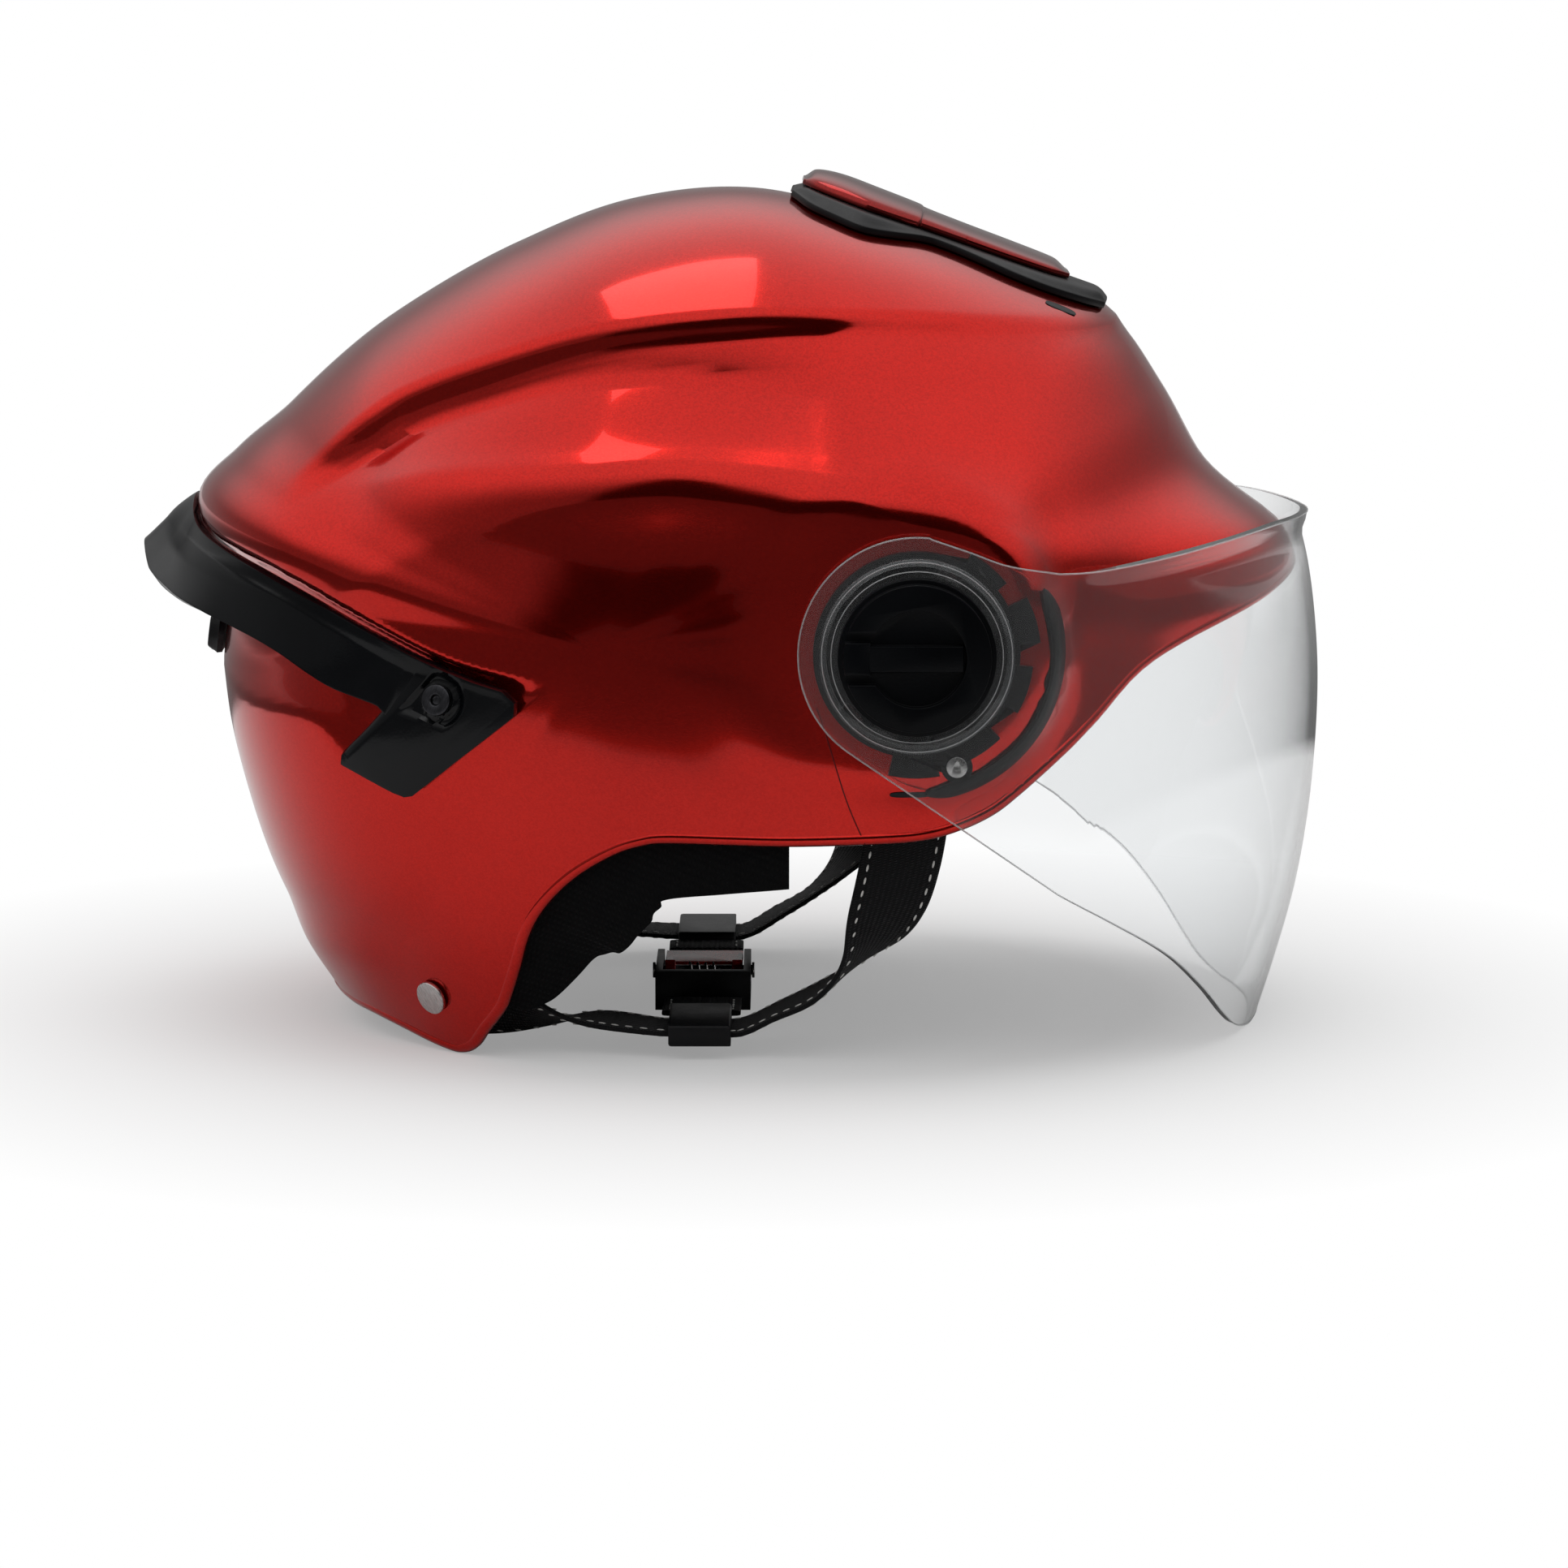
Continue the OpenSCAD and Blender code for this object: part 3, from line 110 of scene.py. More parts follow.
# a grid primitive whose points are moved to their places, given in millimetres
def shapedGrid(name, columns, rows, place):
    clearSelection()
    bpy.ops.mesh.primitive_grid_add(x_subdivisions=columns, y_subdivisions=rows, size=1)
    piece = bpy.context.object
    piece.name = piece.data.name = name
    flat = coords(piece)
    setCoords(piece, place(flat[:, 0] + 0.5, flat[:, 1] + 0.5) * mm)
    return piece


# a round bead along points in millimetres
def beadAlong(name, points, radius, closed=False, sides=3):
    curve = bpy.data.curves.new(name, "CURVE")
    curve.dimensions = "3D"
    curve.bevel_depth = radius * mm
    curve.bevel_resolution = sides
    curve.use_fill_caps = not closed
    line = curve.splines.new("POLY")
    line.points.add(len(points) - 1)
    for point, place in zip(line.points, points):
        point.co = (place[0] * mm, place[1] * mm, place[2] * mm, 1)
    line.use_cyclic_u = closed
    pick(addObject(name, curve))
    bpy.ops.object.convert(target="MESH")
    piece = bpy.context.object
    piece.name = piece.data.name = name
    closeUp(piece)
    smooth(piece, 60)
    return piece


def softenEdges(piece, width, angle, segments=2):
    applyModifier(piece, "BEVEL", width=width * mm, segments=segments, limit_method="ANGLE",
                  angle_limit=math.radians(angle))


# a copy of a solid with rounded edges
edgeRound = {"weld": 0.002 * mm, "flatWithin": math.radians(0.8), "sharpFrom": 34}


def roundedCopy(node, name, width, segments=2):
    piece = addObject(name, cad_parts[node].data.copy())
    pick(piece)
    bpy.ops.object.mode_set(mode="EDIT")
    bpy.ops.mesh.select_all(action="SELECT")
    bpy.ops.mesh.remove_doubles(threshold=edgeRound["weld"])
    bpy.ops.mesh.dissolve_limited(angle_limit=edgeRound["flatWithin"])
    bpy.ops.object.mode_set(mode="OBJECT")
    softenEdges(piece, width, edgeRound["sharpFrom"], segments)
    smooth(piece, edgeRound["sharpFrom"])
    return piece


# the same piece for the wearer's left, with its own mesh
def leftCopy(piece, name):
    other = addObject(name, piece.data.copy())
    places = coords(other)
    places[:, 1] *= -1
    setCoords(other, places)
    other.data.flip_normals()
    smooth(other)
    return other


# one material all over, the body it rides on, and the solids it stands for
def settle(piece, body, slot, material, *nodes):
    piece.data.materials.clear()
    piece.data.materials.append(material)
    for face in piece.data.polygons:
        face.material_index = 0
    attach(piece, body)
    if nodes:
        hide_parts(*nodes)
    return piece


# curves through given points

def ease(low, high, x):
    t = np.clip((x - low) / (high - low), 0, 1)
    return t * t * (3 - 2 * t)


def bell(x, width):
    return np.exp(-(x / width) ** 2)


def mix(a, b, t):
    return a * (1 - t) + b * t


# the height at x on a smooth line through points that run along x
def heightOn(points, x):
    p = np.asarray(points, float)
    px, pz = p[:, 0], p[:, 1]
    x = np.clip(x, px[0], px[-1])
    k = np.clip(np.searchsorted(px, x, side="right") - 1, 0, len(px) - 2)
    order = np.arange(len(px))
    ahead, behind = np.minimum(order + 1, len(px) - 1), np.maximum(order - 1, 0)
    slope = (pz[ahead] - pz[behind]) / (px[ahead] - px[behind])
    step = px[k + 1] - px[k]
    t = (x - px[k]) / step
    bend = t * t * (3 - 2 * t)
    leave, arrive = slope[k] * (t ** 3 - 2 * t * t + t), slope[k + 1] * (t ** 3 - t * t)
    return mix(pz[k], pz[k + 1], bend) + step * (leave + arrive)


# a place on a rounded route through points, where t counts the points
def smoothRoute(points, t):
    p = np.asarray(points, float)
    last = len(p) - 1
    t = np.clip(np.asarray(t, float), 0, last)
    k = np.minimum(t.astype(int), last - 1)
    f = (t - k)[:, None]
    a, b, c, d = p[np.maximum(k - 1, 0)], p[k], p[k + 1], p[np.minimum(k + 2, last)]
    bend, turn = 2 * a - 5 * b + 4 * c - d, 3 * b - a - 3 * c + d
    return 0.5 * (2 * b + (c - a) * f + bend * f ** 2 + turn * f ** 3)


def straightRoute(points, t):
    p = np.asarray(points, float)
    t = np.clip(np.asarray(t, float), 0, len(p) - 1)
    k = np.minimum(t.astype(int), len(p) - 2)
    return mix(p[k], p[k + 1], (t - k)[:, None])


def unitRows(v):
    return v / np.linalg.norm(v, axis=-1, keepdims=True)


# the dome, in millimetres, seen from the middle of its side
shellForm = {
    "sidePole": (-35.0, 115.0),
    "halfWidth": 114.0,
    "power": 2.2,
    "wall": 3.5,
    "crestStep": 5.0,
    "crestBulge": 3.0,
    "ridgeBulge": 3.0,
    "brimReach": 14.0,
    "ledgeDepth": 4.5,
    "ridgePeak": 2.0,
    "browEdge": 2.0,
    "cheekOut": 6.5,
    "bowlDepth": 1.5,
    "scoopHeight": [(-124, 5), (-60, 6), (-23, 8.5), (2, 12), (20, 13.5), (36, 13.5)],
    "ledgeFoot": [
        (-156, 106), (-150, 104), (-133, 95), (-112, 92), (-103, 82), (-95, 78), (-82, 83.5),
        (-49, 103), (-41, 106)],
    "platformY": 112.0,
    "platformR": 35.0,
    "platformBlend": 9.0,
    "platformFade": 18.0,
    "platformSoft": ((25, 75), (-140, -88)),
    "platformSide": 60.0,
    "pivot": (50.2, 114.0),
    "drawnFrom": (8, 22),
    "drawnTo": (138, 158),
    "rowKnots": (0.0, 0.40, 0.56, 0.72, 1.0),
    "crestBand": (3.2, 2.8),
    "crestOverRidge": 8.0,
    "crestMost": 82.0,
    "topColumns": 0.78,
    "topAngle": 250.0,
    "columns": 300,
    "rows": 150,
    "beadR": 1.95,
    "outline": [
        (145.5, 131), (139.5, 148), (132, 160), (122, 178), (107, 197), (76, 212), (42, 223.5),
        (6, 232.5), (-27.6, 229.5), (-60, 217), (-92, 198.5), (-124.6, 173), (-140, 160),
        (-150.5, 148), (-146, 128), (-144.4, 103), (-142, 83), (-137.5, 64), (-131, 44), (-119, 20),
        (-106.5, 0), (-87, -36), (-51, -74), (25, -107), (132, -84), (190, 5), (162, 80)],
    "crestLine": [
        (-124, 152.5), (-109, 162.8), (-97.6, 171), (-86.5, 178), (-64.5, 186.6), (-42.8, 193.5),
        (-25, 197), (0, 199), (22, 199.3), (66, 197), (110, 196)],
    "ridgeLine": [
        (-124, 152.5), (-97, 156.8), (-72.7, 159.8), (-42, 160.8), (-10, 161.3), (22, 155.7),
        (40, 149), (55, 143.4), (77, 135.2), (97, 132.6), (120, 132.5), (150, 134)],
    "ledgeLine": [
        (-156, 150), (-147, 139.8), (-135, 135.8), (-125, 132.7), (-97, 120), (-75, 110),
        (-58.5, 105.6), (-41, 100)],
    "edge": [
        (-112, 9), (-109.7, 7.4), (-105.1, 6.8), (-99, 6), (-88, 2), (-78, -0.8), (-73, -1.2),
        (-68.7, 1.2), (-65.3, 6.5), (-60.8, 13), (-58.9, 17.4), (-56, 26.7), (-53.8, 34.7),
        (-50.5, 41.6), (-45, 48.4), (-38.4, 54), (-29.7, 59), (-23, 61.2), (-16.6, 62), (0, 61.5),
        (18, 61), (44, 61.5), (55, 62.5), (64, 65), (72.7, 69), (79.4, 74), (88, 82), (97, 91),
        (109, 104.5), (122, 113.2), (136, 120.5), (140, 122.9), (143, 124.7), (145, 126)],
}
pole = np.array(shellForm["sidePole"])
domeMid = np.array([pole[0], 0.0, pole[1]])
pivotX, pivotZ = shellForm["pivot"]


def sideAngle(x, z):
    return np.degrees(np.arctan2(z - pole[1], x - pole[0])) % 360


outline = np.array(shellForm["outline"], float)
outlineAngle = sideAngle(outline[:, 0], outline[:, 1])
outlinePolar = np.stack([outlineAngle, np.linalg.norm(outline - pole, axis=1)], 1)
fullTurn = [360, 0]
domeRing = np.concatenate([outlinePolar[-2:] - fullTurn, outlinePolar, outlinePolar[:2] + fullTurn])


def domeReach(angle):
    return heightOn(domeRing, angle % 360)


def turnOf(x, z):
    share = np.hypot(x - pole[0], z - pole[1]) / domeReach(sideAngle(x, z))
    return np.degrees(np.arcsin(np.minimum(1, share ** (shellForm["power"] / 2))))


def turnAtY(y):
    share = np.minimum(1, np.abs(y) / shellForm["halfWidth"])
    return np.degrees(np.arccos(share ** (shellForm["power"] / 2)))


# where the shell's forms rise and fade, along x or up z, and how widely they round off
reliefForm = {
    "crestFrom": (-124, -95),
    "crestLower": (30, 95),
    "crestRise": (-3, 2.5),
    "crestRound": 26.0,
    "scoopTo": (26, 35),
    "scoopRun": 34.0,
    "browFrom": (24, 60),
    "browFade": (86, 108),
    "browLoss": 0.6,
    "keenTop": 1.5,
    "keenWidth": 9.0,
    "brimFrom": (97, 140),
    "peakFrom": (-105, -70),
    "peakTo": (0, 45),
    "ridgeFrom": (-124, -80),
    "ridgeMore": (40, 97),
    "ridgeLess": 0.5,
    "ridgeRoundOver": 13.0,
    "ridgeRoundUnder": 16.0,
    "ridgeWiden": 6.0,
    "ridgeWidenFrom": (60, 110),
    "ridgeSoften": (20, 75),
    "ledgeRound": 38.0,
    "ledgeSlope": 0.2,
    "ledgeLip": (-2, 2),
    "bowlFrom": (-100, -62),
    "bowlTo": (-4, 26),
    "bowlUp": (62, 86),
    "bowlLip": 12.0,
    "bowlMiddle": 10.0,
    "bowlRound": 45.0,
    "flare": 1.8,
    "flareUp": (22, 36),
    "flareTo": (-104, -86),
    "cheekFrom": (-10, 50),
    "cheekTo": (70, 125),
    "cheekUp": (72, 108),
    "cheekTop": (150, 185),
}


def between(rise, fall, x):
    return ease(*rise, x) * (1 - ease(*fall, x))


# a keen edge along a line, only just rounded at its top
def keen(over):
    top = reliefForm["keenTop"]
    return np.exp((top - np.hypot(over, top)) / reliefForm["keenWidth"])


def crestRelief(x, z):
    s, r = shellForm, reliefForm
    over = z - heightOn(s["crestLine"], x)
    rear = ease(*r["crestFrom"], x)
    bulge = mix(s["crestBulge"] * rear, s["crestBulge"] / 2, ease(*r["crestLower"], x))
    crest = bulge * ease(*r["crestRise"], over) * bell(np.maximum(over, 0), r["crestRound"])
    wall, down = heightOn(s["scoopHeight"], x), np.maximum(-over, 0)
    scoop = np.where(down < wall, down / wall, np.maximum(0, 1 - (down - wall) / r["scoopRun"]))
    undercut = s["crestStep"] * rear * (1 - ease(*r["scoopTo"], x)) * scoop
    browFade = 1 - r["browLoss"] * ease(*r["browFade"], x)
    return crest - undercut + s["browEdge"] * ease(*r["browFrom"], x) * browFade * keen(over)


def ridgeRelief(x, over):
    s, r = shellForm, reliefForm
    less = r["ridgeLess"]
    brim = (s["brimReach"] - 2 * s["ridgeBulge"] + less) * ease(*r["brimFrom"], x)
    peak = s["ridgePeak"] * between(r["peakFrom"], r["peakTo"], x)
    rear = s["ridgeBulge"] * ease(*r["ridgeFrom"], x)
    front = (s["ridgeBulge"] - less) * ease(*r["ridgeMore"], x)
    widthUnder = r["ridgeRoundUnder"] + r["ridgeWiden"] * ease(*r["ridgeWidenFrom"], x)
    rounded = bell(over, np.where(over > 0, r["ridgeRoundOver"], widthUnder))
    upper = mix(keen(over), rounded, ease(*r["ridgeSoften"], x))
    return (rear + front + brim + peak) * np.where(over > 0, upper, rounded)


def ledgeRelief(x, z):
    s, r = shellForm, reliefForm
    line = heightOn(s["ledgeLine"], x)
    over = z - line
    down = np.maximum(-over, 0)
    left = np.maximum(0, line - heightOn(s["ledgeFoot"], x) - down)
    depth = np.minimum(s["ledgeDepth"] * bell(down, r["ledgeRound"]), r["ledgeSlope"] * left)
    return depth * (1 - ease(*r["ledgeLip"], over))


# how far the shell stands off the plain dome
def relief(x, z):
    s, r = shellForm, reliefForm
    overRidge = z - heightOn(s["ridgeLine"], x)
    under = np.minimum(overRidge, 0)
    bowlSpan = between(r["bowlFrom"], r["bowlTo"], x) * ease(*r["bowlUp"], z)
    bowlRound = (1 - bell(under, r["bowlLip"])) * bell(under + r["bowlMiddle"], r["bowlRound"])
    bowl = s["bowlDepth"] * bowlSpan * bowlRound
    flare = r["flare"] * (1 - ease(*r["flareUp"], z)) * (1 - ease(*r["flareTo"], x))
    cheekSpan = between(r["cheekFrom"], r["cheekTo"], x) * between(r["cheekUp"], r["cheekTop"], z)
    cheek = s["cheekOut"] * cheekSpan
    ridge = ridgeRelief(x, overRidge)
    return crestRelief(x, z) + ridge - ledgeRelief(x, z) - bowl + flare + cheek


# turn runs from 0 at the right side's middle over 90 on the plane of symmetry to 180 on the left
def domePoint(angle, turn):
    across, bend = np.cos(np.radians(turn)), 2 / shellForm["power"]
    across = np.where(np.abs(across) < 1e-6, 0, across)    # exactly on the plane of symmetry
    reach = domeReach(angle) * np.sin(np.radians(turn)) ** bend
    x = pole[0] + reach * np.cos(np.radians(angle))
    y = -np.sign(across) * shellForm["halfWidth"] * np.abs(across) ** bend
    return np.stack([x, y, pole[1] + reach * np.sin(np.radians(angle))], -1)


def grown(p, lift):
    return p + unitRows(p - domeMid) * np.asarray(lift)[..., None]


# a place on the shell, with the flat round platform at each pivot
def shellPoint(angle, turn, lift=0.0):
    s = shellForm
    bare = domePoint(angle, turn)
    p = grown(bare, relief(bare[:, 0], bare[:, 2]) + lift)
    away = np.hypot(p[:, 0] - pivotX, p[:, 2] - pivotZ)
    way = np.degrees(np.arctan2(p[:, 2] - pivotZ, p[:, 0] - pivotX))
    above, below = s["platformSoft"]
    soft = np.maximum(ease(*above, way), 1 - ease(*below, way))
    reach = mix(s["platformBlend"], s["platformFade"], soft)
    flat = 1 - ease(s["platformR"], s["platformR"] + reach, away)
    flat = np.where(np.abs(p[:, 1]) > s["platformSide"], flat, 0)
    p[:, 1] = mix(p[:, 1], np.sign(p[:, 1]) * (s["platformY"] + lift), flat)
    return p


# the shell's right side at x and z of the plain dome
def shellAt(x, z, lift=0.0):
    return shellPoint(sideAngle(x, z), turnOf(x, z), lift)


def shellNormal(x, z, reach=2.0):
    along = shellAt(x + reach, z) - shellAt(x - reach, z)
    up = shellAt(x, z + reach) - shellAt(x, z - reach)
    return unitRows(np.cross(along, up))


# one place on the shell with its way out, for what sits on it
def seatOn(place):
    x, z = np.array([place[0]]), np.array([place[1]])
    return shellAt(x, z)[0], shellNormal(x, z)[0]


# camera, at the photograph's view
cameraSetup = {
    "place": (0.015, -1.6, 0.294),
    "target": (0.015, 0.0, 0.063),
    "lens": 129.5,
    "sensor": 36.0,
    "seesTo": 500,
}


def aim(holder, place, target):
    holder.location = place
    holder.rotation_mode = "QUATERNION"
    holder.rotation_quaternion = (Vector(target) - Vector(place)).to_track_quat("-Z", "Y")


def buildCamera():
    s = cameraSetup
    camera = bpy.data.cameras.new("studioCamera")
    camera.lens, camera.sensor_width = s["lens"], s["sensor"]
    camera.dof.use_dof = False
    camera.clip_end = s["seesTo"]
    holder = addObject("studioCamera", camera)
    aim(holder, s["place"], s["target"])
    bpy.context.scene.camera = holder


buildCamera()
bpy.context.scene.view_settings.view_transform = "Standard"
print("camera placed")


# materials

def newMaterial(name, values):
    material = bpy.data.materials.new(name)
    material.use_nodes = True
    shader = material.node_tree.nodes["Principled BSDF"]
    for key, value in values.items():
        shader.inputs[key].default_value = value
    return material, material.node_tree, shader


def addNode(tree, kind, **settings):
    node = tree.nodes.new(kind)
    for key, value in settings.items():
        if key in node.inputs:
            node.inputs[key].default_value = value
        else:
            setattr(node, key, value)
    return node


def objectCoords(tree, scale=(1, 1, 1), turn=(0, 0, 0)):
    source = addNode(tree, "ShaderNodeTexCoord")
    mapping = addNode(tree, "ShaderNodeMapping", Scale=scale, Rotation=turn)
    tree.links.new(source.outputs["Object"], mapping.inputs["Vector"])
    return mapping.outputs["Vector"]


def addTexture(tree, kind, vector, **settings):
    node = addNode(tree, "ShaderNodeTex" + kind, **settings)
    tree.links.new(vector, node.inputs["Vector"])
    return node


# a link from another node's output, or a plain value
def wire(tree, value, socket):
    if hasattr(value, "is_linked"):
        tree.links.new(value, socket)
    else:
        socket.default_value = value


def math2(tree, operation, a, b=0.0):
    node = addNode(tree, "ShaderNodeMath", operation=operation)
    wire(tree, a, node.inputs[0])
    wire(tree, b, node.inputs[1])
    return node.outputs[0]


def remap(tree, value, low, high, toLow, toHigh):
    node = addNode(tree, "ShaderNodeMapRange", **{
        "From Min": low, "From Max": high, "To Min": toLow, "To Max": toHigh})
    tree.links.new(value, node.inputs["Value"])
    return node.outputs["Result"]


def mixColour(tree, factor, a, b):
    node = addNode(tree, "ShaderNodeMix", data_type="RGBA")
    colourA, colourB, result = 6, 7, 2    # this node's sockets for colours
    wire(tree, factor, node.inputs["Factor"])
    wire(tree, a, node.inputs[colourA])
    wire(tree, b, node.inputs[colourB])
    return node.outputs[result]


def bumpInto(tree, shader, height, depth, strength):
    bump = addNode(tree, "ShaderNodeBump", Strength=strength, Distance=depth)
    tree.links.new(height, bump.inputs["Height"])
    tree.links.new(bump.outputs["Normal"], shader.inputs["Normal"])


def toned(colour, factor):
    return tuple(c * factor for c in colour[:3]) + (1,)


def newGroup(name, inputs, outputs):
    tree = bpy.data.node_groups.new(name, "ShaderNodeTree")
    tree.interface.new_socket(name="Vector", in_out="INPUT", socket_type="NodeSocketVector")
    number = "NodeSocketFloat"
    for label, value in inputs.items():
        socket = tree.interface.new_socket(name=label, in_out="INPUT", socket_type=number)
        socket.default_value = value
    for label in outputs:
        tree.interface.new_socket(name=label, in_out="OUTPUT", socket_type=number)
    start, end = tree.nodes.new("NodeGroupInput"), tree.nodes.new("NodeGroupOutput")
    return tree, start.outputs, end.inputs


def placeGroup(tree, group, vector, values):
    node = tree.nodes.new("ShaderNodeGroup")
    node.node_tree = group
    tree.links.new(vector, node.inputs["Vector"])
    for key, value in values.items():
        node.inputs[key].default_value = value
    return node.outputs


# handling marks: broad smears and fine dust specks that change the gloss
def buildHandlingGroup():
    tree, start, end = newGroup(
        "handlingMarks", {"Smear Size": 30.0, "Base": 0.1, "Spread": 0.1}, ["Roughness"])
    smear = addTexture(tree, "Noise", start["Vector"], Detail=4.0, Roughness=0.6)
    fine = addTexture(tree, "Noise", start["Vector"], Scale=900.0, Detail=2.0)
    tree.links.new(start["Smear Size"], smear.inputs["Scale"])
    smearShare, fineShare = 0.8, 0.2
    both = math2(tree, "ADD", math2(tree, "MULTIPLY", smear.outputs[0], smearShare),
                 math2(tree, "MULTIPLY", fine.outputs[0], fineShare))
    spread = math2(tree, "MULTIPLY", remap(tree, both, 0.38, 0.68, 0.0, 1.0), start["Spread"])
    tree.links.new(math2(tree, "ADD", spread, start["Base"]), end["Roughness"])
    return tree


# moulded grain: small rounded bumps
def buildGrainGroup():
    tree, start, end = newGroup("mouldedGrain", {"Grain Size": 1800.0}, ["Height"])
    cells = addTexture(tree, "Voronoi", start["Vector"], feature="SMOOTH_F1", Smoothness=0.6)
    tree.links.new(start["Grain Size"], cells.inputs["Scale"])
    tree.links.new(cells.outputs["Distance"], end["Height"])
    return tree


# woven threads: two crossing sets, one over the other in turn; their tone follows the height, so
# the hollows between threads get painted shade
def buildWeaveGroup():
    tree, start, end = newGroup(
        "wovenThreads", {"Threads": 1000.0, "Slant": 0.0}, ["Height", "Tone"])
    parts = addNode(tree, "ShaderNodeSeparateXYZ")
    tree.links.new(start["Vector"], parts.inputs[0])
    x, y = parts.outputs[:2]
    slanted = math2(tree, "ADD", y, math2(tree, "MULTIPLY", x, start["Slant"]))
    warp = math2(tree, "SINE", math2(tree, "MULTIPLY", x, start["Threads"]))
    weft = math2(tree, "SINE", math2(tree, "MULTIPLY", slanted, start["Threads"]))
    crossing = math2(tree, "MULTIPLY", warp, weft)
    ribs = math2(tree, "ADD", math2(tree, "ABSOLUTE", warp), math2(tree, "ABSOLUTE", weft))
    crossShare, ribShare = 0.6, 0.4
    height = math2(tree, "ADD", math2(tree, "MULTIPLY", crossing, crossShare),
                   math2(tree, "MULTIPLY", ribs, ribShare))
    tree.links.new(height, end["Height"])
    tree.links.new(remap(tree, height, -0.6, 1.2, 0.0, 1.0), end["Tone"])
    return tree


handlingGroup, grainGroup, weaveGroup = buildHandlingGroup(), buildGrainGroup(), buildWeaveGroup()

finishes = {
    "redDeep": (0.34, 0.004, 0.0025, 1),
    "redBright": (0.74, 0.02, 0.011, 1),
    "coverDeep": (0.12, 0.004, 0.004, 1),
    "coverBright": (0.34, 0.016, 0.013, 1),
    "gloss": (0.0015, 0.0018, 0.0024, 1),
    "satin": (0.003, 0.003, 0.0036, 1),
    "cloth": (0.0013, 0.0013, 0.0015, 1),
    "webbing": (0.003, 0.003, 0.0033, 1),
    "thread": (0.78, 0.77, 0.74, 1),
    "foam": (0.035, 0.035, 0.037, 1),
    "steel": (0.62, 0.61, 0.60, 1),
    "darkSteel": (0.05, 0.05, 0.055, 1),
    "clear": (0.965, 0.975, 0.98, 1),
    "collar": (0.9, 0.92, 0.93, 1),
    "lever": (0.32, 0.012, 0.012, 1),
    "seam": (0.07, 0.002, 0.003, 1),
}


def handledGloss(tree, shader, vector, smearSize, base, spread):
    values = {"Smear Size": smearSize, "Base": base, "Spread": spread}
    gloss = placeGroup(tree, handlingGroup, vector, values)
    tree.links.new(gloss["Roughness"], shader.inputs["Roughness"])


# a colour that changes to another with a value over the surface
def colourBy(tree, shader, factor, a, b):
    tree.links.new(mixColour(tree, factor, a, b), shader.inputs["Base Color"])


def roughnessBy(tree, shader, value, low, high, toLow, toHigh):
    tree.links.new(remap(tree, value, low, high, toLow, toHigh), shader.inputs["Roughness"])


# candy lacquer: a flake layer under a hard clear coat
lacquer = {
    "shader": {"Metallic": 0.94, "Coat Weight": 0.4, "Coat Roughness": 0.02, "Coat IOR": 1.45,
               "Specular IOR Level": 0.2},
    "flakes": 2600.0,
    "flakeShare": (0.36, 0.64),
    "clouds": 14.0,
    "cloudShare": (-0.12, 0.12),
    "smears": 18.0,
    "roughness": (0.11, 0.04),
    "flakeBump": (0.03 * mm, 0.12),
}


def candyRed(name, deep, bright):
    s = lacquer
    material, tree, shader = newMaterial(name, s["shader"])
    vector = objectCoords(tree)
    flake = addTexture(tree, "Voronoi", vector, Scale=s["flakes"])
    cloud = addTexture(tree, "Noise", vector, Scale=s["clouds"], Detail=3.0)
    spark = addNode(tree, "ShaderNodeSeparateColor")
    tree.links.new(flake.outputs["Color"], spark.inputs[0])
    amount = math2(tree, "ADD", remap(tree, spark.outputs[0], 0, 1, *s["flakeShare"]),
                   remap(tree, cloud.outputs[0], 0.3, 0.7, *s["cloudShare"]))
    colourBy(tree, shader, amount, deep, bright)
    handledGloss(tree, shader, vector, s["smears"], *s["roughness"])
    bumpInto(tree, shader, spark.outputs[1], *s["flakeBump"])
    return material


# moulded plastic: finish, roughness and its spread, grain size and depth, coat, specular level
mouldings = {
    "capBlack": ("gloss", 0.3, 0.08, 1500.0, 0.03 * mm, 0.0, 0.1),
    "glossBlack": ("gloss", 0.16, 0.10, 1500.0, 0.02 * mm, 0.05, 0.2),
    "satinBlack": ("satin", 0.34, 0.14, 2200.0, 0.05 * mm, 0.0, 0.22),
    "leverRed": ("lever", 0.22, 0.12, 1800.0, 0.03 * mm, 0.2, 0.4),
    "seamDark": ("seam", 0.4, 0.1, 1800.0, 0.02 * mm, 0.0, 0.2),
}
mouldingTone = {"clouds": 45.0, "lighter": 1.9, "smears": 40.0, "grainStrength": 0.5}


def moulded(name, finish, roughness, spread, grain, depth, coat, shine):
    s, colour = mouldingTone, finishes[finish]
    material, tree, shader = newMaterial(name, {
        "Coat Weight": coat, "Coat Roughness": 0.05, "Specular IOR Level": shine})
    vector = objectCoords(tree)
    cloud = addTexture(tree, "Noise", vector, Scale=s["clouds"], Detail=5.0)
    tone = remap(tree, cloud.outputs[0], 0.35, 0.7, 0, 1)
    colourBy(tree, shader, tone, colour, toned(colour, s["lighter"]))
    handledGloss(tree, shader, vector, s["smears"], roughness, spread)
    bumps = placeGroup(tree, grainGroup, vector, {"Grain Size": grain})
    bumpInto(tree, shader, bumps["Height"], depth, s["grainStrength"])
    return material


# clear plastic: finish, roughness, share of light let through
clearSheets = {
    "visorClear": ("clear", 0.012, 0.985),
    "collarClear": ("collar", 0.03, 0.985),
    "edgeClear": ("clear", 0.1, 0.82),
}
sheetTone = {"smears": 22.0, "spread": 0.03, "shadow": 0.12}


